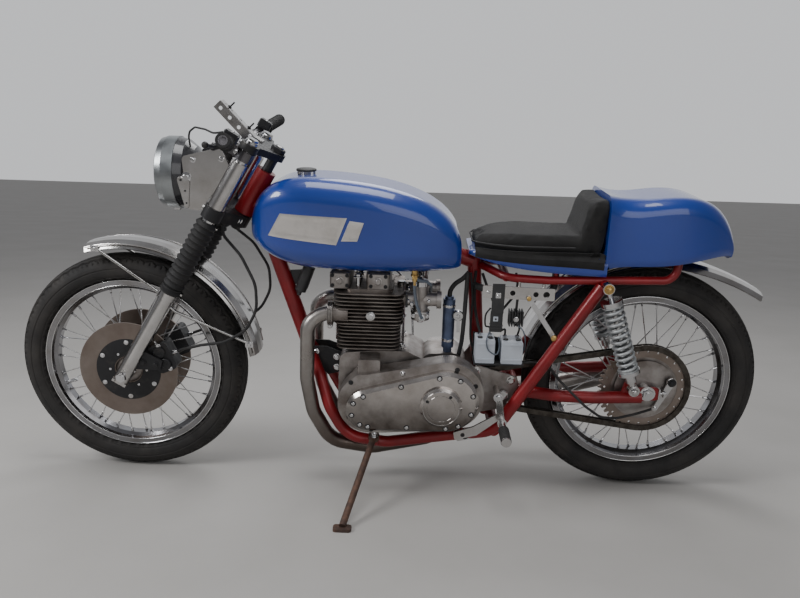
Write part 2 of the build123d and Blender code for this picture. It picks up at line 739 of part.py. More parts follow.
def guard_shell(centre, radius, half, thickness, start, end):
    """A mudguard: a crowned section swept round an axle between two angles."""
    rows = ((-half, -16.0), (-half * 0.86, -4.0), (-half * 0.5, 3.0), (0.0, 5.0))
    outer = list(rows) + [(-across, up) for across, up in reversed(rows[:-1])]
    inner = [(across * (1 - thickness / half), up - thickness) for across, up in reversed(outer)]
    points = [(across, radius + up) for across, up in outer + inner]
    face = Plane(origin=(0, 0, 0), x_dir=(0, 1, 0), z_dir=(1, 0, 0)) * polygon(points)
    face = Rot(0, 90 - start, 0) * face
    return Pos(*centre) * revolve(face, Axis.Y, -(end - start))


def make_front_guard():
    """The polished front mudguard and its stays to the sliders."""
    guard = guard_shell(FRONT_AXLE, GUARD_R, GUARD_HALF, GUARD_T, GUARD_START, GUARD_END)
    parts = [guard]
    for side in SIDES:
        edge = side * (GUARD_HALF - 3)
        out = side * (LEG_Y - SLIDER_R - 4)
        lug = side * (LEG_Y - SLIDER_R + 1)
        front = polar(FRONT_AXLE, GUARD_R - 10, 101, edge)
        slider = leg_point(SLIDER_TOP - 50, lug)
        mid = leg_point(SLIDER_TOP - 44, out, 34)
        parts.append(rod(front, mid, 4))
        parts.append(rod(mid, slider, 4))
        rear = polar(FRONT_AXLE, GUARD_R - 10, 14, edge)
        knee = leg_point(SLIDER_TOP - 70, out, -34)
        parts.append(rod(rear, knee, 4))
        parts.append(rod(knee, leg_point(SLIDER_TOP - 60, lug), 4))
        parts.append(Pos(*mid) * Sphere(4))
        parts.append(Pos(*knee) * Sphere(4))
    whole = joined(parts)
    for side in SIDES:
        y = side * LEG_Y
        whole -= rod(leg_point(SLIDER_TOP - 34, y), leg_point(SLIDER_TOP, y), SLIDER_R + 2.5 + SEAT)
        whole -= rod(leg_point(SLIDER_TOP - 80, y), leg_point(SLIDER_TOP, y), SLIDER_R + SEAT)
    return whole


def make_brake_hoses():
    """The two front brake hoses, from the lower yoke in a loop behind the mudguard to the calipers."""
    hoses = []
    for side in SIDES:
        centre = polar(FRONT_AXLE, DISC_R - 22, CALIPER_TURN)
        back = Vector(cos(radians(CALIPER_TURN)), 0, sin(radians(CALIPER_TURN)))
        port = Vector(centre.X, side * 76, centre.Z) + back * (CALIPER_WIDTH / 2 + SEAT)
        points = (
            leg_point(LOWER_YOKE[0] - SEAT, side * 56, -34), leg_point(LOWER_YOKE[0] - 30, side * 56, -34),
            (338, side * 80, 676), (378, side * 93, 600), (380, side * 97, 530), (348, side * 97, 468),
            (284, side * 93, 430), (216, side * 84, 416), port + back * 28, port,
        )
        hoses.append(frame_run(points, 4, 90))
    hoses.append(frame_run(LAMP_LEAD, 2.5, 40))
    return group(hoses)


# Frame
def frame_run(points, radius, bend):
    """A bent tube whose bends are as large as asked, or as its runs allow."""
    points = [Vector(point) for point in points]
    radii = []
    for index in range(1, len(points) - 1):
        before, here, after = points[index - 1:index + 2]
        turn = radians((here - before).get_angle(after - here))
        room_in = (here - before).length * (0.85 if index == 1 else 0.45)
        room_out = (after - here).length * (0.85 if index == len(points) - 2 else 0.45)
        radii.append(min(bend, min(room_in, room_out) / max(0.02, abs(sin(turn / 2) / cos(turn / 2)))))
    return bent_rod([tuple(point) for point in points], radius, radii)


def tunnel_roof(x):
    """The height of the roof of the tank's tunnel, a little over the backbone."""
    knee_x, end_x = BACKBONE_KNEE[0], BACKBONE_END[0]
    knee_z, end_z = BACKBONE_KNEE[2] + TUNNEL_HALF, BACKBONE_END[2] + TUNNEL_HALF + 4
    if x < knee_x:
        return knee_z
    return knee_z + (end_z - knee_z) * (x - knee_x) / (end_x - knee_x)


def make_main_frame():
    """The welded frame: head lug, backbone, downtube, duplex cradle, seat tube and pivot lug."""
    low, high = HEAD_LUG
    behind = -FORK_OFFSET - 8
    tubes = [
        rod(leg_point(low, 0, -FORK_OFFSET), leg_point(high, 0, -FORK_OFFSET), LUG_R),
        frame_run((leg_point(low + 38, 0, behind), BACKBONE_KNEE, BACKBONE_END), BACKBONE_R, 90),
        rod(leg_point(low + 50, 0, behind - 6), DOWNTUBE_FOOT, DOWNTUBE_R),
        frame_run((SEAT_TUBE_TOP, SEAT_TUBE_KNEE, SEAT_TUBE_FOOT), SEAT_TUBE_R, 80),
        Pos(*DOWNTUBE_FOOT) * Sphere(DOWNTUBE_R),
    ]
    for side in SIDES:
        rail = [(x, side * y, z) for x, y, z in CRADLE_RUN]
        tubes.append(frame_run(rail, CRADLE_R, 90))
    x, y, z = CRADLE_RUN[-2]
    tubes.append(rod((x, -y, z), (x, y, z), CRADLE_R))
    tubes.append(rod((PIVOT_X, -PIVOT_LUG_HALF, PIVOT_Z), (PIVOT_X, PIVOT_LUG_HALF, PIVOT_Z), PIVOT_R + 2))
    tubes.append(rod((PIVOT_X, -SPINDLE_HALF, PIVOT_Z), (PIVOT_X, SPINDLE_HALF, PIVOT_Z), SPINDLE_R))
    web = polygon(((SEAT_TUBE_KNEE[0], 392), (PIVOT_X, PIVOT_Z + 24), (PIVOT_X, PIVOT_Z - 24), (x, z)))
    tubes.append(slab(web, -5, 5))
    for x in TANK_SADDLES:
        roof = [(spot, tunnel_roof(spot) - SEAT) for spot in (x - 10, x + 10)]
        tubes.append(slab(polygon(((x - 10, roof[0][1] - 30), roof[0], roof[1], (x + 10, roof[1][1] - 30))), -12, 12))
    pin = Vector(*STAND_PIVOT)
    lug_start = Vector(STAND_PIVOT[0], -CRADLE_Y, CRADLE_RUN[3][2] + 6)
    tubes.append(rod(lug_start, pin - STAND_AXIS * 20, 11))
    tubes.append(rod(pin - STAND_AXIS * 20, pin - STAND_AXIS * STAND_EYE_HALF, 15))
    tubes.append(rod(pin - STAND_AXIS * 20, pin + STAND_AXIS * (STAND_EYE_HALF + 6), STAND_PIN_R))
    frame = joined(tubes)
    frame -= rod(leg_point(low - 5, 0, -FORK_OFFSET), leg_point(high + 5, 0, -FORK_OFFSET), STEM_R + PIN_GAP)
    return frame


def make_rear_frame():
    """The rear loops, the seat rails and their cross tubes, with the studs for the shock absorbers."""
    tubes = []
    for side in SIDES:
        foot = Vector(*[value * factor for value, factor in zip(LOOP_FOOT, (1, side, 1))])
        top = Vector(SHOCK_TOP[0] - 6, side * LOOP_TOP_Y, SHOCK_TOP[1] - 6)
        tubes.append(rod(foot, top, LOOP_R))
        stud_in = (SHOCK_TOP[0], side * LOOP_TOP_Y, SHOCK_TOP[1])
        stud_out = (SHOCK_TOP[0], side * (SHOCK_Y + SHOCK_EYE_HALF + 4), SHOCK_TOP[1])
        tubes.append(rod(stud_in, stud_out, SHOCK_PIN_R))
        tubes.append(rod(stud_in, (SHOCK_TOP[0], side * (SHOCK_Y - SHOCK_EYE_HALF - SEAT), SHOCK_TOP[1]), 13))
    rails = [(x, -y, z) for x, y, z in RAIL_RUN] + list(reversed(RAIL_RUN))
    tubes.append(frame_run(rails, RAIL_R, 60))
    x, y, z = RAIL_RUN[1]
    tubes.append(rod((x, -y, z), (x, y, z), RAIL_R))
    x, low, high = PAN_SECTIONS[2][:3]
    for side in SIDES:
        tubes.append(rod((x, side * 92, RAIL_RUN[2][2]), (x, side * 92, high - SEAT_WALL - SEAT), 6))
    return joined(tubes)


def make_swing_arm():
    """The rear fork: two legs from the pivot eyes to the axle plates, with a cross tube."""
    parts = []
    for side in SIDES:
        inner, outer = side * (PIVOT_LUG_HALF + SEAT), side * (ARM_FRONT_Y + ARM_R)
        eye = disc_y(Vector(PIVOT_X, 0, PIVOT_Z), PIVOT_R, min(inner, outer), max(inner, outer))
        end = (REAR_AXLE.X - 16, side * ARM_REAR_Y, REAR_AXLE.Z - 12)
        leg = frame_run(((PIVOT_X, side * ARM_FRONT_Y, PIVOT_Z), (PIVOT_X + 40, side * ARM_FRONT_Y, PIVOT_Z + 1),
                         (PIVOT_X + 150, side * (ARM_REAR_Y - 10), PIVOT_Z + 3),
                         (PIVOT_X + 250, side * ARM_REAR_Y, PIVOT_Z + 6), end), ARM_R, 90)
        plate = slab(rounded((
            (REAR_AXLE.X - 46, REAR_AXLE.Z - 26, 8), (REAR_AXLE.X + 34, REAR_AXLE.Z - 18, 14),
            (REAR_AXLE.X + 34, REAR_AXLE.Z + 18, 14), (REAR_AXLE.X - 46, REAR_AXLE.Z + 12, 8),
        )), side * ARM_REAR_Y - 5, side * ARM_REAR_Y + 5)
        stud_in = (SHOCK_FOOT[0], side * ARM_REAR_Y, SHOCK_FOOT[1])
        stud_out = (SHOCK_FOOT[0], side * (SHOCK_Y + SHOCK_EYE_HALF + 4), SHOCK_FOOT[1])
        lug = slab(rounded((
            (SHOCK_FOOT[0] - 26, 312, 4), (SHOCK_FOOT[0] + 22, 314, 4),
            (SHOCK_FOOT[0] + 13, SHOCK_FOOT[1] + 12, 8), (SHOCK_FOOT[0] - 13, SHOCK_FOOT[1] + 12, 8),
        )), side * ARM_REAR_Y - 5, side * ARM_REAR_Y + 5)
        parts += [eye, leg, plate, lug, rod(stud_in, stud_out, SHOCK_PIN_R)]
        inner_stop = side * (SHOCK_Y - SHOCK_EYE_HALF - SEAT)
        parts.append(rod(stud_in, (SHOCK_FOOT[0], inner_stop, SHOCK_FOOT[1]), 12))
    cross_x = PIVOT_X + 42
    parts.append(rod((cross_x, -ARM_FRONT_Y, PIVOT_Z), (cross_x, ARM_FRONT_Y, PIVOT_Z), ARM_R - 5))
    arm = joined(parts)
    arm -= rod((PIVOT_X, -200, PIVOT_Z), (PIVOT_X, 200, PIVOT_Z), SPINDLE_R + SEAT)
    arm -= disc_y(Vector(PIVOT_X, 0, PIVOT_Z), PIVOT_R + 4, -PIVOT_LUG_HALF - SEAT, PIVOT_LUG_HALF + SEAT)
    arm -= rod((REAR_AXLE.X, -200, REAR_AXLE.Z), (REAR_AXLE.X, 200, REAR_AXLE.Z), AXLE_R + SEAT)
    return arm


def make_rear_axle():
    """The rear wheel spindle, its nuts and the spacers between hub and swing arm."""
    reach = ARM_REAR_Y + 5
    bar = rod((REAR_AXLE.X, -reach - 14, REAR_AXLE.Z), (REAR_AXLE.X, reach + 14, REAR_AXLE.Z), AXLE_R)
    for side in SIDES:
        seat = Plane(origin=(REAR_AXLE.X, side * (reach + SEAT), REAR_AXLE.Z), z_dir=(0, side, 0))
        bar += extrude(seat * RegularPolygon(16, 6), 11)
    bar += disc_y(REAR_AXLE, 15, REAR_HUB_END + 1, ARM_REAR_Y - 5 - SEAT)
    bar += disc_y(REAR_AXLE, 15, -ARM_REAR_Y + 5 + SEAT, PLATE_Y - 4)
    return bar


def make_brake_plate():
    """The fixed alloy plate that closes the drum, with its lever."""
    plate = turned(((PLATE_Y - 4, 26), (PLATE_Y - 4, AXLE_R + SEAT), (-DRUM_OUT - PIN_GAP, AXLE_R + SEAT),
                    (-DRUM_OUT - PIN_GAP, 30), (PLATE_Y + 3, DRUM_R - 8), (PLATE_Y, DRUM_R - 8)), REAR_AXLE)
    top = polar(REAR_AXLE, 74, 22)
    foot = polar(REAR_AXLE, 60, -58)
    lever = slab(polygon(((top.X - 11, top.Z), (top.X + 11, top.Z), (foot.X + 7, foot.Z), (foot.X - 7, foot.Z))),
                 PLATE_Y - 14, PLATE_Y - 9)
    lever += disc_y(top, 14, PLATE_Y - 14, PLATE_Y - 9)
    lever += disc_y(top, 7, PLATE_Y - 16, PLATE_Y + 2)
    lever += disc_y(foot, 9, PLATE_Y - 14, PLATE_Y - 9)
    return plate + lever


def make_shocks():
    """The two dampers: eyes, bodies and rods, without their springs."""
    dampers = []
    top, foot = Vector(SHOCK_TOP[0], 0, SHOCK_TOP[1]), Vector(SHOCK_FOOT[0], 0, SHOCK_FOOT[1])
    way = (top - foot).normalized()
    length = (top - foot).length
    for side in SIDES:
        low = foot + RIGHT * side * SHOCK_Y
        high = top + RIGHT * side * SHOCK_Y
        damper = rod(low + way * 26, low + way * 150, 15)
        damper += rod(low + way * 5, low + way * 30, 9)
        damper += rod(low + way * 52, low + way * 62, SPRING_R + 2)
        damper += rod(low + way * 140, high - way * 8, 7)
        damper += rod(high - way * 46, high - way * 34, SPRING_R + 1)
        for point in (low, high):
            damper += disc_y(point, 15, point.Y - SHOCK_EYE_HALF, point.Y + SHOCK_EYE_HALF)
        for point in (low, high):
            damper -= disc_y(point, SHOCK_PIN_R + SEAT, point.Y - SHOCK_EYE_HALF - 1, point.Y + SHOCK_EYE_HALF + 1)
        dampers.append(damper)
    return group(dampers)


def make_springs():
    """The two coil springs, each a stack of turned coils round a thin sleeve."""
    top, foot = Vector(SHOCK_TOP[0], 0, SHOCK_TOP[1]), Vector(SHOCK_FOOT[0], 0, SHOCK_FOOT[1])
    way = (top - foot).normalized()
    start, end = 62 + SEAT, (top - foot).length - 46 - SEAT
    step = (end - start) / SPRING_COILS
    inner = SPRING_R - 2 * SPRING_WIRE_R
    points = [(inner, 0.0)]
    for coil in range(SPRING_COILS):
        base = coil * step
        points += [(inner + 3, base), (SPRING_R, base + step * 0.28), (SPRING_R, base + step * 0.55),
                   (inner + 3, base + step * 0.83)]
    points += [(inner + 3, end - start), (inner, end - start)]
    profile = Plane.XZ * polygon(points)
    springs = []
    for side in SIDES:
        place = Plane(origin=foot + RIGHT * side * SHOCK_Y + way * start, x_dir=RIGHT, z_dir=way)
        springs.append(place.location * revolve(profile, Axis.Z, 360))
    return group(springs)


# Drive chain
def chain_pins():
    """The chain's pins: exact on the rear sprocket, then evenly spaced round the gearbox one."""
    big, small = pitch_radius(REAR_TEETH), pitch_radius(FRONT_TEETH)
    across, up = GEARBOX_X - REAR_AXLE.X, GEARBOX_Z - REAR_AXLE.Z
    span, heading = hypot(across, up), degrees(atan2(up, across))
    open_angle = degrees(atan2((span ** 2 - (big - small) ** 2) ** 0.5, big - small))
    step = 360.0 / REAR_TEETH
    upper, lower = heading - open_angle, heading + open_angle - 360
    pins = []
    angle = step / 2
    while angle - step > lower:
        angle -= step
    while angle < upper:
        pins.append(polar(REAR_AXLE, big, angle))
        angle += step
    centre = Vector(GEARBOX_X, 0, GEARBOX_Z)
    first, last = pins[-1], pins[0]
    corners = [first, polar(REAR_AXLE, big, upper)]
    sweep_angle = 360 - 2 * open_angle
    turns = 24
    for turn in range(turns + 1):
        corners.append(polar(centre, small, upper + (lower + 360 - upper) * turn / turns))
    corners += [polar(REAR_AXLE, big, lower), last]
    runs = [(b - a).length for a, b in zip(corners, corners[1:])]
    total = sum(runs)
    count = round(total / CHAIN_PITCH)
    for index in range(1, count):
        left = total * index / count
        for (a, b), run in zip(zip(corners, corners[1:]), runs):
            if left <= run:
                pins.append(a + (b - a) * (left / run))
                break
            left -= run
    return pins


def make_chain():
    """The final drive chain: two rows of side plates joined by a roller at every pin."""
    pins = chain_pins()
    centre = Vector(sum(pin.X for pin in pins) / len(pins), 0, sum(pin.Z for pin in pins) / len(pins))
    outer, inner = [], []
    for before, here, after in zip(pins[-1:] + pins[:-1], pins, pins[1:] + pins[:1]):
        along = (after - before).normalized()
        out = Vector(along.Z, 0, -along.X)
        if out.dot(here - centre) < 0 and abs(out.dot(here - centre)) > 20:
            out = out * -1
        outer.append((here.X + out.X * CHAIN_H / 2, here.Z + out.Z * CHAIN_H / 2))
        inner.append((here.X - out.X * CHAIN_H / 2, here.Z - out.Z * CHAIN_H / 2))
    band = polygon(outer) - polygon(inner)
    chain = []
    for side in SIDES:
        edge = CHAIN_Y + side * CHAIN_W / 2
        chain.append(slab(band, min(edge, edge - side * 3.5), max(edge, edge - side * 3.5)))
    for pin in pins:
        seat = Plane(origin=(pin.X, CHAIN_Y - CHAIN_W / 2 + 1, pin.Z), z_dir=(0, 1, 0))
        chain.append(extrude(seat * RegularPolygon(ROLLER_R, 6), CHAIN_W - 2))
    return chain[0].fuse(*chain[1:])


# Engine
def make_crankcase():
    """The alloy crankcase and gearbox with the inner half of the primary case."""
    crank = rounded(((598, 230, 30), (604, 405, 26), (700, BARREL_BASE_Z, 4), (792, BARREL_BASE_Z, 20),
                     (842, 392, 20), (846, 200, 20), (760, 186, 30), (650, 188, 30)))
    case = slab(crank, -CRANKCASE_HALF, CRANKCASE_HALF)
    gearbox = rounded(((830, 214, 20), (832, 402, 30), (930, 408, 30), (958, 380, 20), (958, 236, 30), (900, 206, 20)))
    case += slab(gearbox, -GEARBOX_HALF, GEARBOX_HALF)
    case += slab(primary_outline(), PRIMARY_Y, PRIMARY_Y + PRIMARY_CASE_DEPTH)
    neck = rounded(((640, 240, 30), (640, 370, 30), (800, 380, 30), (820, 240, 30)))
    case += slab(neck, PRIMARY_Y, -CRANKCASE_HALF + 1)
    case += slab(rounded(((660, 340, 4), (660, 411, 6), (720, 411, 6), (720, 340, 4))), PRIMARY_Y + 12, 1 - CRANKCASE_HALF)
    shaft = Vector(GEARBOX_X, 0, GEARBOX_Z)
    case += slab(rounded(((930, 286, 10), (930, 350, 10), (1012, 342, 20), (1012, 294, 20))), -GEARBOX_HALF, -24)
    case += disc_y(shaft, 22, CHAIN_Y - 8, -GEARBOX_HALF + 1)
    case += disc_y(shaft, pitch_radius(FRONT_TEETH) - CHAIN_H / 2 - 1.5, CHAIN_Y - 3, CHAIN_Y + 3)
    return case


def hull_of(circles):
    """A face hulled round circles, from rows of X, Z and radius."""
    edges = []
    for x, z, radius in circles:
        edges.append((Pos(x, z) * Circle(radius)).edge())
    return make_hull(edges)


def primary_outline():
    """The outline of the primary drive case in the side view."""
    return hull_of(PRIMARY_CASE)


def make_primary_cover():
    """The polished outer cover of the primary drive, domed by a sloping edge."""
    return domed(hull_of(PRIMARY_COVER), PRIMARY_Y, PRIMARY_Y - PRIMARY_DEPTH, 9)


def make_clutch_cover():
    """The round cover at the back of the primary drive."""
    centre = Vector(CLUTCH_X, 0, CLUTCH_Z)
    face = PRIMARY_Y - PRIMARY_DEPTH
    return turned(((face, 0), (face, CLUTCH_R), (face - 8, CLUTCH_R), (face - 13, CLUTCH_R - 7),
                   (face - 13, 0)), centre)


def make_timing_cover():
    """The timing and gearbox covers on the right of the engine."""
    timing = rounded(((612, 290, 40), (640, 392, 40), (770, 400, 30), (826, 320, 30), (780, 220, 30), (680, 205, 40)))
    gearbox = rounded(((848, 226, 20), (848, 396, 20), (930, 402, 30), (956, 376, 20), (956, 240, 30), (900, 214, 20)))
    cover = domed(timing, CRANKCASE_HALF, CRANKCASE_HALF + 34, 7)
    box = domed(gearbox, GEARBOX_HALF, GEARBOX_HALF + 50, 7)
    return group([cover, box])


def fin_stack(width, depth, low, count, core_w, core_d, core_low, core_high):
    """A finned block: thin rounded plates round a solid core."""
    core = Pos(ENGINE_X, 0, core_low) * extrude(RectangleRounded(core_w, core_d, 22), core_high - core_low)
    fins = [core]
    for index in range(count):
        plate = Pos(ENGINE_X, 0, low + index * FIN_PITCH) * extrude(RectangleRounded(width, depth, 26), FIN_T)
        fins.append(plate)
    return fins[0].fuse(*fins[1:])


def make_cylinders():
    """The finned cylinder block on its base flange."""
    width, depth = BARREL_SIZE
    top = BARREL_BASE_Z + SEAT + 6 + BARREL_FINS * FIN_PITCH
    block = fin_stack(width, depth, BARREL_BASE_Z + 10, BARREL_FINS, width - 52, depth - 44,
                      BARREL_BASE_Z + SEAT, top)
    block += Pos(ENGINE_X, 0, BARREL_BASE_Z + SEAT) * extrude(RectangleRounded(width - 34, CRANKCASE_HALF * 2 - 8, 20), 7)
    return block


def head_base():
    """The height of the joint between cylinders and head."""
    return BARREL_BASE_Z + SEAT + 6 + BARREL_FINS * FIN_PITCH


def make_head():
    """The finned cylinder head with its exhaust and inlet stubs."""
    width, depth = HEAD_SIZE
    low = head_base() + SEAT
    high = low + 4 + HEAD_FINS * FIN_PITCH
    head = fin_stack(width, depth, low + 4, HEAD_FINS, width - 60, depth - 40, low, high)
    front, back = ENGINE_X - width / 2, ENGINE_X + width / 2
    for y in EXHAUST_Y:
        head += rod((front + 40, y, EXHAUST_Z), (front - 4, y, EXHAUST_Z), EXHAUST_R + 4)
    for y in CARB_Y:
        head += rod((back - 40, y, CARB_Z), (back + 6, y, CARB_Z), 19)
    return head


def make_rocker_boxes():
    """The two rocker boxes on the head."""
    low = head_base() + SEAT + 4 + HEAD_FINS * FIN_PITCH + SEAT
    boxes = []
    for x, width in ROCKERS:
        body = Pos(x, 0, low) * extrude(RectangleRounded(width, HEAD_SIZE[1] - 44, 14), ROCKER_RISE)
        top = body.faces().sort_by(Axis.Z)[-1].outer_wire().edges()
        body = chamfer(top, 7)
        for y in (-62, 0, 62):
            body += rod((x, y, low + ROCKER_RISE - 2), (x, y, low + ROCKER_RISE + 8), 13)
        boxes.append(body)
    return group(boxes)


def make_carburettors():
    """The carburettors behind the head: body, slide chamber, float bowl and bell mouth each."""
    back = ENGINE_X + HEAD_SIZE[0] / 2 + 6 + SEAT
    carbs = []
    for y in CARB_Y:
        body = rod((back, y, CARB_Z), (back + 84, y, CARB_Z), 19)
        body += rod((back + 84, y, CARB_Z), (back + 96, y, CARB_Z), 25)
        body += rod((back + 40, y, CARB_Z - 48), (back + 40, y, CARB_Z + 52), 20)
        body += rod((back + 40, y, CARB_Z - 56), (back + 40, y, CARB_Z - 30), 25)
        carbs.append(body)
    link = rod((back + 40, CARB_Y[0], CARB_Z + 20), (back + 40, CARB_Y[-1], CARB_Z + 20), 6)
    return joined(carbs + [link])


def make_exhaust():
    """Two headers that drop in front of the engine and join under it, on the way to the right."""
    pipes = []
    front = ENGINE_X - HEAD_SIZE[0] / 2 - 4 - SEAT
    for y in EXHAUST_Y:
        side = -1 if y < 0 else 1
        tail = EXHAUST_LEFT_TAIL if side < 0 else EXHAUST_RIGHT_TAIL
        points = [(front, y, EXHAUST_Z)] + [(x, side * off, z) for x, off, z in EXHAUST_DROP] + list(tail)
        pipes.append(frame_run(points, EXHAUST_R, 90))
        pipes.append(rod((front, y, EXHAUST_Z), (front - 9, y * 1.0, EXHAUST_Z), EXHAUST_R + 7))
    return joined(pipes)


def make_breather():
    """The upright breather bottle between carburettors and seat tube, on the gearbox."""
    x, y, low, high = BREATHER
    bottle = rod((x, y, low + SEAT), (x, y, low + 14), 12)
    bottle += rod((x, y, low + 14), (x, y, high), BREATHER_R)
    bottle += rod((x, y, high), (x, y, high + 8), BREATHER_R - 5)
    return bottle


def make_coils():
    """The twin ignition coils under the tank, on a bracket behind the downtube."""
    low, high = Vector(*COIL_LOW), Vector(*COIL_HIGH)
    foot, top = Vector(*DOWNTUBE_FOOT), leg_point(HEAD_LUG[0] + 50, 0, -FORK_OFFSET - 14)
    middle = (low + high) * 0.5
    bracket = slab(polygon((
        (foot.X + (top.X - foot.X) * 0.5, middle.Z + 16), (middle.X + 8, middle.Z + 22),
        (middle.X - 4, middle.Z - 22), (foot.X + (top.X - foot.X) * 0.4, middle.Z - 22),
    )), -3, 3)
    coils = bracket - rod(foot, top, DOWNTUBE_R + SEAT)
    for side in SIDES:
        offset = RIGHT * side * (COIL_R + 2)
        coils += rod(low + offset, high + offset, COIL_R)
        coils += rod(low + offset, low + offset - (high - low).normalized() * 14, 6)
    return coils


def make_silencer():
    """The silencer on the right, tapered at both ends."""
    start, end = Vector(*EXHAUST_RIGHT_TAIL[-1]), Vector(*SILENCER_END)
    way = (end - start).normalized()
    length = (end - start).length
    place = Plane(origin=start, x_dir=RIGHT, z_dir=way)
    outer = ((EXHAUST_R + 3, -18), (SILENCER_R, 90), (SILENCER_R, length - 70), (SILENCER_R - 16, length))
    inner = ((SILENCER_R - 19, length), (SILENCER_R - 19, length - 60), (0, length - 60), (0, SEAT),
             (EXHAUST_R + SEAT, SEAT), (EXHAUST_R + SEAT, -18))
    body = revolve(Plane.XZ * polygon(outer + inner), Axis.Z, 360)
    x, z = SILENCER_BOLT
    bracket = slab(polygon(((x - 11, z - 8), (x + 2, z + 13), (x + 14, z + 8), (x + 92, z - 74), (x + 60, z - 84))),
                   start.Y - 4, start.Y + 4)
    bracket += rod((x, LOOP_LOW_Y, z), (x, start.Y + 10, z), 7)
    top = Vector(SHOCK_TOP[0] - 6, LOOP_TOP_Y, SHOCK_TOP[1] - 6)
    return place.location * body + (bracket - rod(LOOP_FOOT, top, LOOP_R + SEAT))


def make_engine_plates():
    """The alloy plates that join gearbox and frame at the swing arm pivot."""
    plates = []
    for side in SIDES:
        outline = rounded(((958, 352, 6), (985, 388, 6), (1100, 356, 8), (1104, 330, 8), (1066, 262, 8), (968, 240, 8)))
        inner, outer = side * PLATE_IN, side * (PLATE_IN + PLATE_T)
        plate = slab(outline, min(inner, outer), max(inner, outer))
        plate -= rod((PIVOT_X, -200, PIVOT_Z), (PIVOT_X, 200, PIVOT_Z), SPINDLE_R + SEAT)
        plates.append(plate)
    return group(plates)


def make_footrests():
    """The rearset footrest hangers with their pegs."""
    hangers = []
    for side in SIDES:
        bar = slab(rounded(((1034, 332, 5), (1052, 332, 5), (1068, 236, 6), (1048, 232, 6))),
                   min(side * HANGER_IN, side * (HANGER_IN + 6)), max(side * HANGER_IN, side * (HANGER_IN + 6)))
        strip = slab(rounded(((930, 190, 5), (990, 206, 5), (1052, 258, 5), (1056, 280, 5), (980, 232, 5), (926, 212, 5))),
                     min(side * HANGER_IN, side * (HANGER_IN + 6)), max(side * HANGER_IN, side * (HANGER_IN + 6)))
        bolt = rod((1043, side * (PLATE_IN + PLATE_T + SEAT), 322), (1043, side * HANGER_IN, 322), 9)
        peg = rod((1058, side * HANGER_IN, 246), (1058, side * PEG_END, 246), 9)
        peg += rod((1058, side * (PEG_END - 74), 246), (1058, side * PEG_END, 246), 13)
        hangers.append(bar + strip + bolt + peg)
    return group(hangers)


def make_electrics():
    """The drilled alloy plate hung from the left seat rail."""
    plate = slab(rounded(((988, 588, 3), (988, 622, 3), (1180, 618, 3), (1180, 584, 3))), ELEC_Y - 3, ELEC_Y)
    for x, z, radius in ((1068, 603, 7), (1130, 601, 7), (1158, 601, 8.5)):
        plate -= disc_y(Vector(x, 0, z), radius, ELEC_Y - 10, ELEC_Y + 10)
    for x in (1085, 1150):
        plate += rod((x, ELEC_Y + 3, 608), (x, ELEC_Y + 3, 636), 4)
    rail = [(x, -y, z) for x, y, z in RAIL_RUN[1:3]]
    return plate - rod(rail[0], rail[1], RAIL_R + SEAT)


def make_strut():
    """The flat strut from the drilled plate down to the rear loop, bolted at both ends."""
    (x, z), (end_x, end_z) = STRUT
    y = ELEC_Y - 3 - SEAT
    place = Pos((x + end_x) / 2, (z + end_z) / 2) * Rot(0, 0, degrees(atan2(end_z - z, end_x - x)))
    strut = slab(place * RectangleRounded(hypot(end_x - x, end_z - z) + 16, 13, 6), y - 3, y)
    strut += disc_y(Vector(end_x, 0, end_z), 8, y - 12, y - 3)
    strut += disc_y(Vector(x, 0, z), 5, y - 7, y)
    top = Vector(SHOCK_TOP[0] - 6, -LOOP_TOP_Y, SHOCK_TOP[1] - 6)
    foot = Vector(LOOP_FOOT[0], -LOOP_FOOT[1], LOOP_FOOT[2])
    return strut - rod(foot, top, LOOP_R + SEAT)


def make_brake_cable():
    """The rear brake cable, from the tray under the loop and over the swing arm to the brake lever."""
    return frame_run(BRAKE_CABLE, CABLE_R, 60)


def make_tray():
    """The tray behind the seat tube that carries the boxes."""
    tray = slab(polygon(((974, 398), (1110, 398), (1110, 402), (974, 402))), -114, -SEAT_TUBE_R - SEAT)
    tray += slab(polygon(((974, 402), (1110, 402), (1110, 440), (974, 470))), -44, -40)
    return tray


def make_boxes():
    """Two plain electrical boxes standing on the tray."""
    boxes = []
    for low, high, top in ((978, 1030, 470), (1048, 1106, 466)):
        box = slab(rounded(((low, 402 + SEAT, 3), (high, 402 + SEAT, 3), (high, top, 3), (low, top, 3))), -110, -52)
        boxes.append(box)
    return group(boxes)


# Tank, seat and guards
def section_loft(sections):
    """A smooth body through rounded sections across the machine."""
    faces = []
    for x, low, high, half, corner in sections:
        place = Plane(origin=(x, 0, (low + high) / 2), x_dir=(0, 1, 0), z_dir=(1, 0, 0))
        faces.append(place * RectangleRounded(half * 2, high - low, min(corner, (high - low) / 2 - 1, half - 1)))
    return loft(faces)


def make_tank():
    """The fuel tank, lofted, with the tunnel for the backbone underneath."""
    tank = section_loft(TANK_SECTIONS)
    low = BACKBONE_KNEE[2] - 180
    roof = [(x, tunnel_roof(x)) for x in (340, BACKBONE_KNEE[0], BACKBONE_END[0])]
    tunnel = slab(polygon([(340, low)] + roof + [(BACKBONE_END[0], low)]), -TUNNEL_HALF, TUNNEL_HALF)
    recess = slab(polygon(((548, low), (548, 664), (764, 664), (764, low))), -HEAD_SIZE[1] / 2 + 10, HEAD_SIZE[1] / 2 - 10)
    top = TANK_SECTIONS[3][2]
    cap = rod((CAP_X, 0, top - 14), (CAP_X, 0, top + 40), CAP_R + SEAT)
    lug = rod(leg_point(HEAD_LUG[0], 0, -FORK_OFFSET), leg_point(HEAD_LUG[1] + 9, 0, -FORK_OFFSET), LUG_R + 6)
    return tank - tunnel - recess - cap - lug


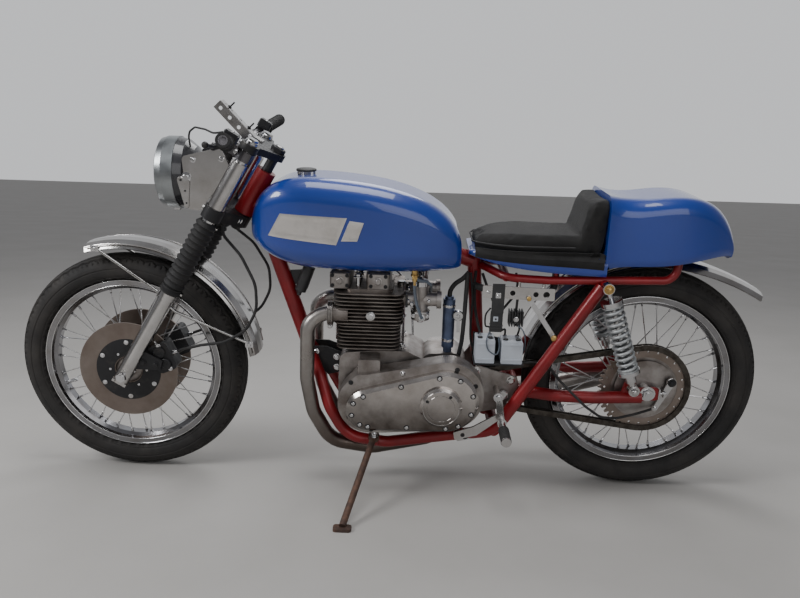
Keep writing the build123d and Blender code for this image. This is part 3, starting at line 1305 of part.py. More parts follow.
def make_filler_cap():
    """The round filler cap."""
    top = TANK_SECTIONS[3][2]
    return rod((CAP_X, 0, top - 14 + SEAT), (CAP_X, 0, top + 8), CAP_R) + rod((CAP_X, 0, top + 8), (CAP_X, 0, top + 13), CAP_R - 5)


def make_seat_unit():
    """The seat pan and tail hump in one moulding, open underneath."""
    outer = section_loft(PAN_SECTIONS) + section_loft(HUMP_SECTIONS)
    wall = SEAT_WALL
    inner_pan = section_loft([(x + wall, low - 20, high - wall, half - wall, corner)
                              for x, low, high, half, corner in PAN_SECTIONS[:-1]] +
                             [(PAN_SECTIONS[-1][0] + 6, PAN_SECTIONS[-1][1] - 20, PAN_SECTIONS[-1][2] - wall,
                               PAN_SECTIONS[-1][3] - wall, PAN_SECTIONS[-1][4])])
    inner_hump = section_loft([(x, low - 40, high - wall, half - wall, corner - wall)
                               for x, low, high, half, corner in HUMP_INNER])
    return outer - inner_pan - inner_hump


def make_seat_pad():
    """The padded seat and its backrest in one L."""
    base = section_loft(PAD_SECTIONS)
    profile = rounded(((1238, 708.6, 1), (1240, 756, 2), (1252, 800, 40), (1264, 858, 12), (1299.7, 866, 4), (1299.7, 708.6, 1)))
    back = slab(profile, -114, 114)
    arch = Plane(origin=(1220, 0, 787), x_dir=(0, 1, 0), z_dir=(1, 0, 0)) * RectangleRounded(228, 160, 36)
    back = back & extrude(arch, 100)
    return base + back


def make_rear_guard():
    """The rear mudguard with its kicked-up tail."""
    guard = guard_shell(REAR_AXLE, REAR_GUARD_R, REAR_GUARD_HALF, GUARD_T, REAR_GUARD_KICK, REAR_GUARD_FRONT)
    centre = polar(REAR_AXLE, REAR_GUARD_R - REAR_GUARD_TAIL_R, REAR_GUARD_KICK)
    end = REAR_GUARD_KICK - REAR_GUARD_TAIL_TURN
    guard += guard_shell(centre, REAR_GUARD_TAIL_R, REAR_GUARD_HALF, GUARD_T, end, REAR_GUARD_KICK)
    z = GUARD_STAY_Z
    reach = REAR_GUARD_R - 10
    x = REAR_AXLE.X - (reach ** 2 - (z - REAR_AXLE.Z) ** 2) ** 0.5
    for side in SIDES:
        guard += rod((x, side * (REAR_GUARD_HALF - 2), z), (x, side * (RAIL_RUN[2][1] - RAIL_R - SEAT), z), 5)
    return guard


def make_stand():
    """The side stand: an eye on its pin, a bent leg and a foot plate flat on the floor."""
    pin = Vector(*STAND_PIVOT)
    foot = Vector(STAND_FOOT[0], STAND_FOOT[1], (-STAND_FOOT[1] * sin(radians(LEAN)) - FLOOR_DROP) / cos(radians(LEAN)))
    up = Vector(0, sin(radians(LEAN)), cos(radians(LEAN)))
    eye = rod(pin - STAND_AXIS * (STAND_EYE_HALF - SEAT), pin + STAND_AXIS * (STAND_EYE_HALF - SEAT), 15)
    leg = rod(pin, foot + up * 10, STAND_R)
    pad = extrude(Plane(origin=foot, z_dir=up) * RectangleRounded(30, 46, 8), 8)
    stand = eye + leg + pad
    return stand - rod(pin - STAND_AXIS * 40, pin + STAND_AXIS * 40, STAND_PIN_R + PIN_GAP)


# Parked position
def parked(shape, shift):
    """Lean an upright piece onto the stand and move it to the row's origin."""
    place = Location(shift) * Location((0, 0, 0), (1, 0, 0), LEAN)
    return Compound([place * solid for solid in shape.solids()])


def origin_shift(shapes):
    """The move that puts the bottom centre of the leaned machine's box on the origin."""
    boxes = [parked(shape, (0, 0, 0)).bounding_box() for shape in shapes]
    low = [min(tuple(box.min)[axis] for box in boxes) for axis in range(3)]
    high = [max(tuple(box.max)[axis] for box in boxes) for axis in range(3)]
    return (-(low[0] + high[0]) / 2, -(low[1] + high[1]) / 2, -low[2])


def build_upright():
    """Every node, upright, by name."""
    return {
        "front_tyre": make_tyre(FRONT_AXLE, FRONT_TYRE_R, FRONT_TYRE_HALF, FRONT_RIM_HALF),
        "rear_tyre": make_tyre(REAR_AXLE, REAR_TYRE_R, REAR_TYRE_HALF, REAR_RIM_HALF),
        "front_rim": make_rim(FRONT_AXLE, FRONT_RIM_HALF),
        "rear_rim": make_rim(REAR_AXLE, REAR_RIM_HALF),
        "front_spokes": make_spokes(FRONT_AXLE, FRONT_FLANGE_R, FRONT_FLANGE_Y),
        "rear_spokes": make_spokes(REAR_AXLE, REAR_FLANGE_R, REAR_FLANGE_Y),
        "front_hub": make_front_hub(),
        "rear_hub": make_rear_hub(),
        "front_discs": make_discs(),
        "rear_sprocket": make_sprocket(),
        "fork_sliders": make_sliders(),
        "stanchions": make_stanchions(),
        "gaiters": make_gaiters(),
        "lower_yoke": make_lower_yoke(),
        "upper_yoke": make_upper_yoke(),
        "clip_ons": make_clip_ons(),
        "grips": make_grips(),
        "levers": make_levers(),
        "headlamp_rim": make_lamp_rim(),
        "headlamp_lens": make_lamp_lens(),
        "headlamp_shell": make_lamp_shell(),
        "headlamp_brackets": make_lamp_brackets(),
        "dash_bracket": make_dash_bracket(),
        "calipers": make_calipers(),
        "front_axle": make_front_axle(),
        "front_mudguard": make_front_guard(),
        "brake_hoses": make_brake_hoses(),
        "main_frame": make_main_frame(),
        "rear_frame": make_rear_frame(),
        "swing_arm": make_swing_arm(),
        "rear_axle": make_rear_axle(),
        "brake_plate": make_brake_plate(),
        "shock_absorbers": make_shocks(),
        "shock_springs": make_springs(),
        "drive_chain": make_chain(),
        "crankcase": make_crankcase(),
        "primary_cover": make_primary_cover(),
        "clutch_cover": make_clutch_cover(),
        "timing_cover": make_timing_cover(),
        "cylinder_block": make_cylinders(),
        "cylinder_head": make_head(),
        "rocker_boxes": make_rocker_boxes(),
        "carburettors": make_carburettors(),
        "exhaust_pipes": make_exhaust(),
        "silencer": make_silencer(),
        "breather_bottle": make_breather(),
        "ignition_coils": make_coils(),
        "engine_plates": make_engine_plates(),
        "footrests": make_footrests(),
        "electrics_plate": make_electrics(),
        "seat_strut": make_strut(),
        "rear_brake_cable": make_brake_cable(),
        "electrics_tray": make_tray(),
        "electrics_boxes": make_boxes(),
        "fuel_tank": make_tank(),
        "filler_cap": make_filler_cap(),
        "seat_unit": make_seat_unit(),
        "seat_pad": make_seat_pad(),
        "rear_mudguard": make_rear_guard(),
        "side_stand": make_stand(),
    }


def main():
    os.makedirs("parts", exist_ok=True)
    nodes = build_upright()
    shift = origin_shift(nodes.values())
    for name, shape in nodes.items():
        export_step(parked(shape, shift), f"parts/{name}.step")


if __name__ == "__main__":
    main()
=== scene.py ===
"""Looks for the cafe racer motorcycle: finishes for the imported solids, and the fine pieces round them.

Pieces are drawn upright, in millimetres, with X to the rear, Y to the rider's right and Z up, and with
X at 0 on the front axle. place() then leans them onto the side stand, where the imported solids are.
"""
import json
from collections import Counter
from itertools import product
from math import atan2, cos, radians, sin, tau

import bmesh
import bpy
from mathutils import Matrix, Vector
from mathutils.bvhtree import BVHTree


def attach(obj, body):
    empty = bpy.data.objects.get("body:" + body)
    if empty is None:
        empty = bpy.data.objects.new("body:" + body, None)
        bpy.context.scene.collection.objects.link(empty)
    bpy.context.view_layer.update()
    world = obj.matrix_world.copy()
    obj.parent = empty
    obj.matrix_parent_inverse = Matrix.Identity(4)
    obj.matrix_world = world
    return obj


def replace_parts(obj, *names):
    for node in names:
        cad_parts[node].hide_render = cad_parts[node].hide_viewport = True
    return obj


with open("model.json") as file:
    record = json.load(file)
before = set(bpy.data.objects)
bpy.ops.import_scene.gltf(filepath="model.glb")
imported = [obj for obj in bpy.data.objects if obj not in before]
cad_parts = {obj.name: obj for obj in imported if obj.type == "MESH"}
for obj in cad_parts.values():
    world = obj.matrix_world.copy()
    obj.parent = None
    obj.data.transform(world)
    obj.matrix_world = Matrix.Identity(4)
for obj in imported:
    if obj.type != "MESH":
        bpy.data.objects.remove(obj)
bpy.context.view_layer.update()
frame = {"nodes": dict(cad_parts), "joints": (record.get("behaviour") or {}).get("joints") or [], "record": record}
NODES = frame["nodes"]
JOINTS = {joint["name"]: joint for joint in frame["joints"]}

# The machine's own place, from the front wheel's joint
MM = 0.001
FRONT_TYRE_R = 327.0
REAR_TYRE_R = 331.0
WHEELBASE = 1455.0
SPIN = JOINTS["front_wheel_spin"]
LEAN = atan2(SPIN["axis"][2], SPIN["axis"][1])
TURN = Matrix.Rotation(LEAN, 4, "X")
ORIGIN = Vector(SPIN["pos_m"]) - TURN @ Vector((0, 0, FRONT_TYRE_R * MM))
PLACE = Matrix.Translation(ORIGIN) @ TURN @ Matrix.Scale(MM, 4)
FRONT_AXLE = Vector((0, 0, FRONT_TYRE_R))
REAR_AXLE = Vector((WHEELBASE, 0, REAR_TYRE_R))
SIDES = (-1, 1)
REAR, RIGHT, UP = Vector((1, 0, 0)), Vector((0, 1, 0)), Vector((0, 0, 1))
LEFT, DOWN = -RIGHT, -UP
RAKE = radians(30.4)
FORK_UP = Vector((sin(RAKE), 0, cos(RAKE)))
FORK_AHEAD = Vector((-cos(RAKE), 0, sin(RAKE)))
LEG_Y = 96.0
RIM_R = 255.0
RIM_WELL_R = 226.0
SPOKE_COUNT = 40
DISC_R = 140.0
DISC_Y = 62.0
CALIPER_TURN = 24.0
SLIDER_R = 22.0
GAITER_LOW = 286.0
GAITER_TOP = 512.0
UPPER_YOKE_ALONG = 739.5
BAR_ALONG = 715.0
BAR_END = 345.0
BAR_AHEAD = 44.0
BAR_RISE = 58.0
BAR_SWEEP = 22.0
GRIP_LENGTH = 118.0
LAMP_X = 158.0
LAMP_Z = 883.0
LAMP_R = 96.0
CAP_X = 505.0
CAP_R = 23.0
CAP_Z = 890.0
ROCKER_Z = 617.0
PORT_Z = 524.0
CARBURETTOR_X = 824.0
CARBURETTOR_Y = 58.0
FOOTREST_X = 1058.0
FOOTREST_Z = 246.0
BADGE_LONG = ((418, 740), (599, 724), (627, 796), (452, 801))
BADGE_SHORT = ((612, 735), (654, 736), (671, 785), (634, 789))
SHOCK_TOP = Vector((1308, 0, 636))
SHOCK_FOOT = Vector((1406, 0, 353))
SHOCK_Y = 143.0
SEAT_CLOTH_FRAMES = 20
SEAT_CLOTH_REACH = 0.007
SEAT_PAN_TOP = 709.4


def leg(along, side=0.0, ahead=0.0):
    """A point of the fork: distance up the legs from the axle, Y, and distance ahead of the legs."""
    return FRONT_AXLE + FORK_UP * along + FORK_AHEAD * ahead + Vector((0, side, 0))


def polar(centre, radius, angle, y=0.0):
    """A point in the side view, at an angle in degrees up from the rear."""
    return Vector((centre.x + radius * cos(radians(angle)), y, centre.z + radius * sin(radians(angle))))


# Camera, from the photograph's own view of the wheels
CAMERA_AT = Vector((0.80625, -2.14319, 0.86768))
CAMERA_YAW = radians(1.110)
CAMERA_PITCH = radians(9.063)
CAMERA_ROLL = radians(1.7485)
CAMERA_LENS = 33.285


def added(name, data):
    """A new object in the scene."""
    thing = bpy.data.objects.new(name, data)
    bpy.context.scene.collection.objects.link(thing)
    return thing


def make_camera():
    """The camera at the photograph's angle."""
    data = bpy.data.cameras.new("camera")
    data.lens = CAMERA_LENS
    data.sensor_width = 36.0
    camera = added("camera", data)
    turn = Matrix.Rotation(CAMERA_YAW, 3, "Z") @ Matrix.Rotation(-CAMERA_PITCH, 3, "X")
    right, ahead, up = (turn @ axis for axis in (REAR, RIGHT, UP))
    level_right = right * cos(CAMERA_ROLL) + up * sin(CAMERA_ROLL)
    level_up = up * cos(CAMERA_ROLL) - right * sin(CAMERA_ROLL)
    rows = Matrix((level_right, level_up, -ahead)).transposed()
    camera.matrix_world = Matrix.Translation(CAMERA_AT + ORIGIN) @ rows.to_4x4()
    bpy.context.scene.camera = camera


def make_studio():
    """A pale floor and plain soft light."""
    floor_mesh = bpy.data.meshes.new("floor")
    reach = 60.0
    corners = [(x * reach, y * reach, 0) for x, y in ((-1, -1), (1, -1), (1, 1), (-1, 1))]
    floor_mesh.from_pydata(corners, [], [(0, 1, 2, 3)])
    pale = surface("floor", (0.44, 0.428, 0.412), (0.40, 0.388, 0.37), 1.5, rough=0.75, cut=(0.35, 0.7))
    floor_mesh.materials.append(pale)
    added("floor", floor_mesh)
    world = bpy.data.worlds.new("world")
    world.use_nodes = True
    tree = world.node_tree
    split = tree.nodes.new("ShaderNodeSeparateXYZ")
    tree.links.new(tree.nodes.new("ShaderNodeTexCoord").outputs["Generated"], split.inputs[0])
    shade = ramp(tree, split.outputs["Y"], 0.30, 0.72, (0.24, 0.24, 0.25), (0.83, 0.84, 0.86))
    shade.node.color_ramp.interpolation = "EASE"
    tree.links.new(shade, tree.nodes["Background"].inputs["Color"])
    tree.nodes["Background"].inputs["Strength"].default_value = 0.85
    bpy.context.scene.world = world
    lamps = (
        ("key", (-2.6, -1.5, 2.3), (-0.2, 0, 0.5), 1.1, 62),
        ("fill", (1.2, -3.4, 1.5), (0, 0, 0.5), 2.4, 26),
        ("top", (0.0, -0.5, 3.4), (0, 0, 0.3), 1.6, 46),
        ("right", (0.4, 2.4, 3.6), (0, 0, 0.4), 1.8, 40),
    )
    for name, at, target, size, power in lamps:
        data = bpy.data.lights.new(name, "AREA")
        data.size = size
        data.energy = power
        lamp = added(name, data)
        lamp.location = at
        lamp.rotation_euler = (Vector(target) - Vector(at)).to_track_quat("-Z", "Y").to_euler()


# Materials, kept by name
MATERIALS = {}
# How far the edge of the darker lower part wavers: grime and a painted reflection of a dark floor
GRIME_AND_REFLECTION_WAVER = 0.16
THREADS = 1400.0 / 6.0
MIX_FIRST, MIX_SECOND, MIX_RESULT = 6, 7, 2


def node(tree, kind, **values):
    """A new shader node with some sockets set."""
    made = tree.nodes.new(kind)
    for key, value in values.items():
        made.inputs[key].default_value = value
    return made


def own_place(tree):
    """Places in the object's own metres."""
    return tree.nodes.new("ShaderNodeTexCoord").outputs["Object"]


def noise(tree, scale, detail=3.0, rough=0.6):
    """A noise texture in the object's own metres."""
    made = node(tree, "ShaderNodeTexNoise", Scale=scale, Detail=detail, Roughness=rough)
    tree.links.new(own_place(tree), made.inputs["Vector"])
    return made.outputs["Fac"]


def maths(tree, operation, *values):
    """A maths node on sockets and plain numbers."""
    made = tree.nodes.new("ShaderNodeMath")
    made.operation = operation
    for socket, value in zip(made.inputs, values):
        if isinstance(value, (int, float)):
            socket.default_value = value
        else:
            tree.links.new(value, socket)
    return made.outputs[0]


def ramp(tree, factor, low, high, first, second):
    """A blend of two colours between two values of a factor."""
    made = tree.nodes.new("ShaderNodeValToRGB")
    made.color_ramp.elements[0].position = low
    made.color_ramp.elements[1].position = high
    made.color_ramp.elements[0].color = (*first, 1)
    made.color_ramp.elements[1].color = (*second, 1)
    tree.links.new(factor, made.inputs["Fac"])
    return made.outputs["Color"]


def spread(tree, factor, low, high, first=0.0, second=1.0):
    """A factor moved from one range of values to another."""
    made = node(tree, "ShaderNodeMapRange",
                **{"From Min": low, "From Max": high, "To Min": first, "To Max": second})
    tree.links.new(factor, made.inputs["Value"])
    return made.outputs["Result"]


def bumped(tree, height, strength, distance):
    """A bump from a height."""
    made = node(tree, "ShaderNodeBump", Strength=strength, Distance=distance)
    tree.links.new(height, made.inputs["Height"])
    return made.outputs["Normal"]


def surface(name, colour, other=None, blotch=6.0, metal=0.0, rough=0.5, rough_to=None, cut=(0.4, 0.8),
            coat=0.0, coat_rough=0.05, grain=None, grain_depth=0.0004, sheen=0.0, grime_and_reflection=None):
    """A finish, kept by its name: two colours in soft blotches, cut at two values of a noise, a roughness
    that varies, a fine grain of some strength and scale, and a darker colour between two heights that
    thickens downwards, which is grime and a painted reflection of a dark floor."""
    made = bpy.data.materials.new(name)
    made.use_nodes = True
    tree = made.node_tree
    shader = tree.nodes["Principled BSDF"].inputs
    for socket, value in (("Base Color", (*colour, 1)), ("Metallic", metal), ("Roughness", rough),
                          ("Coat Weight", coat), ("Coat Roughness", coat_rough), ("Sheen Weight", sheen)):
        shader[socket].default_value = value
    if other is not None:
        tree.links.new(ramp(tree, noise(tree, blotch, 5.0), *cut, colour, other), shader["Base Color"])
    if rough_to is not None:
        smears = noise(tree, blotch * 1.7, 6.0, 0.65)
        tree.links.new(spread(tree, smears, 0.3, 0.7, rough, rough_to), shader["Roughness"])
    if grime_and_reflection is not None:
        # Grime and a painted reflection of a dark floor: the colour darkens towards the bottom, below a wavering
        # edge
        foot, top, dirt_and_reflection = grime_and_reflection
        height = tree.nodes.new("ShaderNodeSeparateXYZ")
        tree.links.new(own_place(tree), height.inputs[0])
        edge = maths(tree, "MULTIPLY_ADD", noise(tree, 11, 4.0), GRIME_AND_REFLECTION_WAVER, height.outputs["Z"])
        shift = GRIME_AND_REFLECTION_WAVER / 2
        mixed = tree.nodes.new("ShaderNodeMix")
        mixed.data_type = "RGBA"
        mixed.inputs[MIX_FIRST].default_value = (*dirt_and_reflection, 1)
        tree.links.new(spread(tree, edge, foot + shift, top + shift), mixed.inputs[0])
        tree.links.new(shader["Base Color"].links[0].from_socket, mixed.inputs[MIX_SECOND])
        tree.links.new(mixed.outputs[MIX_RESULT], shader["Base Color"])
    if grain:
        strength, scale = grain
        tree.links.new(bumped(tree, noise(tree, scale, 2.0), strength, grain_depth), shader["Normal"])
    MATERIALS[name] = made
    return made


def ringed(name, colour, other, centre, spacing, rough=0.35):
    """A turned metal face with fine rings round an axle."""
    made = surface(name, colour, other, 9.0, 1.0, rough, rough + 0.18, (0.3, 0.75))
    tree = made.node_tree
    offset = tree.nodes.new("ShaderNodeVectorMath")
    offset.operation = "DISTANCE"
    offset.inputs[1].default_value = PLACE @ centre
    tree.links.new(own_place(tree), offset.inputs[0])
    wave = maths(tree, "SINE", maths(tree, "MULTIPLY", offset.outputs["Value"], tau / spacing))
    tree.links.new(bumped(tree, wave, 0.25, 0.0002), tree.nodes["Principled BSDF"].inputs["Normal"])


def woven(name, colour, other):
    """A fine cloth with its threads as bumps and a soft sheen."""
    made = surface(name, colour, other, 14.0, 0.0, 0.85, 0.95, (0.35, 0.75), sheen=0.06)
    tree = made.node_tree
    threads = []
    for direction in ("X", "Y"):
        wave = node(tree, "ShaderNodeTexWave", Scale=THREADS, Distortion=0.6)
        wave.bands_direction = direction
        tree.links.new(own_place(tree), wave.inputs["Vector"])
        threads.append(wave.outputs["Fac"])
    cross = maths(tree, "MAXIMUM", *threads)
    tree.links.new(bumped(tree, cross, 0.5, 0.0006), tree.nodes["Principled BSDF"].inputs["Normal"])


def glass(name):
    """Clear glass for the lamp."""
    shader = surface(name, (0.95, 0.97, 0.98), rough=0.04).node_tree.nodes["Principled BSDF"]
    shader.inputs["Transmission Weight"].default_value = 1.0
    shader.inputs["IOR"].default_value = 1.45


def make_materials():
    """Every finish: its two colours, the blotches' scale, metal, and the least and most roughness."""
    surface("tyre", (0.016, 0.015, 0.015), (0.045, 0.04, 0.036), 10, 0, 0.72, 0.9, grain=(0.3, 900))
    surface("chrome", (0.60, 0.60, 0.61), (0.42, 0.40, 0.37), 16, 1, 0.08, 0.22, (0.45, 0.9))
    # A darker copy of the chrome for the rims: painted dark reflection; their rolled lips keep the bright chrome
    surface("rim_chrome_painted_dark", (0.30, 0.30, 0.315), (0.17, 0.155, 0.14), 14, 1, 0.1, 0.22, (0.4, 0.85))
    surface("spoke_steel", (0.66, 0.66, 0.67), (0.42, 0.38, 0.34), 30, 1, 0.22, 0.4, (0.5, 0.8))
    surface("cast_alloy", (0.40, 0.375, 0.36), (0.15, 0.125, 0.11), 14, 1, 0.34, 0.55, (0.38, 0.72),
            grain=(0.5, 700), grain_depth=0.0006)
    # Darker and browner towards the bottom: grime, and a painted reflection of a dark floor
    surface("cover_alloy", (0.62, 0.585, 0.56), (0.38, 0.345, 0.315), 10, 1, 0.13, 0.24, (0.4, 0.78),
            grain=(0.03, 200), grime_and_reflection=(0.19, 0.33, (0.085, 0.07, 0.062)))
    surface("polished_alloy", (0.56, 0.55, 0.545), (0.36, 0.335, 0.31), 9, 1, 0.13, 0.26, (0.42, 0.8),
            grain=(0.03, 200))
    surface("dark_alloy", (0.17, 0.165, 0.175), (0.09, 0.085, 0.09), 12, 1, 0.16, 0.28)
    # A darker copy of the polished alloy for the front mudguard: painted shade; its rolled edges keep the bright
    # polished alloy
    surface("guard_alloy_painted_shade", (0.43, 0.425, 0.42), (0.27, 0.25, 0.235), 9, 1, 0.11, 0.2, (0.42, 0.8))
    surface("fin_alloy", (0.30, 0.27, 0.25), (0.11, 0.09, 0.08), 22, 1, 0.4, 0.62, (0.35, 0.7),
            grain=(0.4, 800), grain_depth=0.0005)
    ringed("front_disc", (0.28, 0.24, 0.215), (0.165, 0.128, 0.106), FRONT_AXLE, 0.0021)
    ringed("rear_disc", (0.34, 0.29, 0.26), (0.19, 0.15, 0.12), REAR_AXLE, 0.0026, rough=0.45)
    surface("rubber", (0.014, 0.014, 0.015), (0.035, 0.033, 0.032), 20, 0, 0.6, 0.8, grain=(0.2, 900))
    surface("black_metal", (0.014, 0.014, 0.016), (0.05, 0.045, 0.04), 26, 0.2, 0.38, 0.6, (0.55, 0.85),
            grain=(0.15, 800))
    surface("dark_shell", (0.02, 0.02, 0.024), (0.04, 0.04, 0.045), 10, 0.1, 0.22, 0.34, coat=0.6)
    surface("lamp_rim", (0.34, 0.36, 0.37), (0.22, 0.23, 0.24), 12, 1, 0.25, 0.4)
    glass("lens")
    surface("red_paint", (0.25, 0.004, 0.008), (0.12, 0.003, 0.005), 7, 0.15, 0.34, 0.48, (0.4, 0.75),
            coat=0.2, coat_rough=0.1, grain=(0.05, 260))
    surface("blue_paint", (0.0018, 0.039, 0.30), (0.0014, 0.030, 0.235), 3, 0.0, 0.32, 0.38, (0.35, 0.8),
            coat=1.0, coat_rough=0.03, grain=(0.02, 180))
    surface("spring_paint", (0.44, 0.46, 0.47), (0.26, 0.26, 0.26), 26, 0.6, 0.35, 0.5, (0.5, 0.8))
    surface("chain_steel", (0.09, 0.08, 0.07), (0.03, 0.025, 0.02), 60, 0.9, 0.35, 0.6, (0.4, 0.7))
    # Darker and browner towards the bottom: grime, and a painted reflection of a dark floor
    surface("pipe_steel", (0.42, 0.405, 0.39), (0.23, 0.20, 0.18), 8, 1, 0.26, 0.46, (0.42, 0.8),
            grime_and_reflection=(0.12, 0.42, (0.12, 0.096, 0.083)))
    surface("black_plastic", (0.02, 0.02, 0.022), (0.04, 0.04, 0.04), 20, 0, 0.42, 0.55)
    surface("pale_plastic", (0.50, 0.54, 0.60), (0.38, 0.40, 0.44), 18, 0, 0.4, 0.55, (0.45, 0.8))
    woven("seat_cloth", (0.006, 0.0058, 0.006), (0.014, 0.013, 0.0125))
    surface("bare_iron", (0.075, 0.05, 0.042), (0.15, 0.085, 0.06), 40, 0.5, 0.6, 0.8, (0.4, 0.65),
            grain=(0.6, 500), grain_depth=0.0008)
    surface("brushed_strut", (0.62, 0.62, 0.63), (0.44, 0.43, 0.42), 12, 1, 0.24, 0.4, (0.4, 0.85),
            grain=(0.08, 260))
    surface("blue_metal", (0.10, 0.13, 0.22), (0.05, 0.06, 0.10), 18, 0.6, 0.3, 0.45)
    surface("hose", (0.13, 0.16, 0.20), (0.08, 0.09, 0.11), 20, 0, 0.4, 0.55)
    surface("seat_trim", (0.012, 0.012, 0.013), (0.03, 0.03, 0.03), 30, 0, 0.6, 0.75, grain=(0.3, 1200))
    surface("brass", (0.62, 0.42, 0.16), (0.40, 0.26, 0.10), 30, 1, 0.25, 0.4)
    surface("badge", (0.78, 0.75, 0.72), (0.58, 0.55, 0.52), 22, 1, 0.3, 0.42, (0.45, 0.8), grain=(0.1, 500))


NODE_FINISH = {
    "front_discs": "front_disc", "rear_sprocket": "rear_disc", "headlamp_rim": "lamp_rim",
    "electrics_boxes": "pale_plastic", "front_rim": "rim_chrome_painted_dark", "rear_rim": "rim_chrome_painted_dark",
    "primary_cover": "cover_alloy", "clutch_cover": "cover_alloy", "timing_cover": "cover_alloy",
    "clip_ons": "dark_alloy", "front_mudguard": "guard_alloy_painted_shade",
}
SMOOTH_ANGLE = radians(32)


# Forms that the pieces are made of
class Form:
    """The points and faces of one piece, gathered from simple closed forms."""

    def __init__(self):
        self.points = []
        self.faces = []

    def add(self, points, faces):
        """Adds points, and faces that count from the first of them."""
        start = len(self.points)
        self.points.extend(Vector(point) for point in points)
        self.faces.extend(tuple(index + start for index in face) for face in faces)

    def rings(self, rings, loop=False):
        """Joins equal rings of points, with flat ends unless the rings go round in a loop."""
        count = len(rings[0])
        faces = []
        for row in range(len(rings) if loop else len(rings) - 1):
            low, high = row * count, (row + 1) % len(rings) * count
            for index in range(count):
                after = (index + 1) % count
                faces.append((low + index, low + after, high + after, high + index))
        if not loop:
            last = (len(rings) - 1) * count
            faces += [tuple(reversed(range(count))), tuple(range(last, last + count))]
        self.add([point for ring in rings for point in ring], faces)

    def lathe(self, start, way, rows, count=32, loop=False):
        """A turned form: rows of distance along the way and radius."""
        way = Vector(way).normalized()
        across, over = sides_of(way)
        self.rings([circle(Vector(start) + way * along, across, over, max(radius, 0.02), count)
                    for along, radius in rows], loop)

    def band(self, start, way, rows, count=48):
        """A turned ring with a hole: a closed loop of rows of distance and radius."""
        self.lathe(start, way, rows, count, True)

    def ring(self, start, way, inner, outer, width, count=48):
        """A plain turned ring of two radii."""
        self.band(start, way, ((0, inner), (0, outer), (width, outer), (width, inner)), count)

    def disc(self, start, way, radius, height, top_height, top_radius, count):
        """A disc whose top is bevelled to a smaller radius."""
        self.lathe(start, way, ((0, radius), (height, radius), (top_height, top_radius)), count)

    def bar(self, start, end, radius, count=14):
        """A round bar with chamfered ends."""
        way = Vector(end) - Vector(start)
        length = way.length
        edge = min(radius * 0.25, length * 0.3)
        self.lathe(start, way, ((0, radius - edge), (edge, radius), (length - edge, radius),
                                (length, radius - edge)), count)

    def bolt(self, seat, way, radius=6.0, height=5.0, washer=True):
        """A hexagon head with a chamfered top, on a washer."""
        if washer:
            self.disc(seat, way, radius * 1.45, 1.2, 1.5, radius * 1.35, 20)
        self.lathe(seat, way,
                   ((0.5, radius), (height - 0.8, radius), (height, radius * 0.84), (height, radius * 0.5)),
                   6)

    def screw(self, seat, way, radius=4.0, height=2.4):
        """A domed screw head with a slot across it."""
        self.lathe(seat, way, ((0, radius), (height * 0.5, radius), (height * 0.9, radius * 0.75),
                               (height, radius * 0.4)), 18)
        way = Vector(way).normalized()
        across, over = sides_of(way)
        for side in SIDES:
            self.block(Vector(seat) + way * height + over * side * radius * 0.32, across * radius * 0.72,
                       over * radius * 0.16, way * 0.35)

    def block(self, centre, half_x, half_y, half_z, edge=0.18):
        """A block with bevelled edges, from its centre and its half sizes as three vectors."""
        halves = [Vector(half) for half in (half_x, half_y, half_z)]
        trim = edge * min(half.length for half in halves)
        sizes = [(half.length - trim) / half.length for half in halves]
        corners = list(product(SIDES, repeat=3))
        points = [Vector(centre) + sum((halves[axis] * signs[axis] * (1 if axis == flat else sizes[axis])
                                        for axis in range(3)), Vector())
                  for flat in range(3) for signs in corners]

        def spot(flat, axis, *signs):
            turned = tuple(signs[(other - axis) % 3] for other in range(3))
            return flat * 8 + corners.index(turned)

        faces = [tuple(spot(flat, 0, *signs) for flat in range(3)) for signs in corners]
        for axis in range(3):
            for sign in SIDES:
                faces.append(tuple(spot(axis, axis, sign, a, b)
                                   for a, b in ((-1, -1), (1, -1), (1, 1), (-1, 1))))
            first, second = (axis + 1) % 3, (axis + 2) % 3
            for a, b in product(SIDES, repeat=2):
                ends = ((first, -1), (first, 1), (second, 1), (second, -1))
                faces.append(tuple(spot(flat, axis, end, a, b) for flat, end in ends))
        self.add(points, faces)

    def box(self, centre, x, y, z):
        """A block along the machine's axes, from its half sizes."""
        self.block(centre, REAR * x, RIGHT * y, UP * z)

    def tube(self, points, radius, count=10, steps=8):
        """A round tube through points, smoothed between them."""
        path = smooth_path(points, steps)
        rings = []
        across = None
        for index, spot in enumerate(path):
            way = (path[min(index + 1, len(path) - 1)] - path[max(index - 1, 0)]).normalized()
            across = sides_of(way)[0] if across is None else (across - way * across.dot(way)).normalized()
            rings.append(circle(spot, across, way.cross(across), radius, count))
        self.rings(rings)

    def prism(self, outline, low, high, edge=0.8):
        """A flat plate in the side view with bevelled edges, from an outline of X and Z."""
        spots = [Vector((x, 0, z)) for x, z in outline]
        centre = sum(spots, Vector()) / len(spots)
        inward = [(spot, centre - spot) for spot in spots]
        self.rings([[spot + way.normalized() * min(inset, way.length * 0.2) + RIGHT * y
                     for spot, way in inward]
                    for y, inset in ((low, edge), (low + edge, 0), (high - edge, 0), (high, edge))])

    def milled(self, centre, radius, tooth, rows, count):
        """An upright turned form with teeth round it: rows of height and of what the radius is less by."""
        ways = circle(Vector(), REAR, RIGHT, 1.0, count)
        self.rings([[Vector(centre) + way * (radius + tooth * (k % 2) - less) + UP * rise
                     for k, way in enumerate(ways)] for rise, less in rows])

    def mirror(self):
        """Adds the same form on the machine's other side."""
        self.add([(point.x, -point.y, point.z) for point in self.points], list(self.faces))

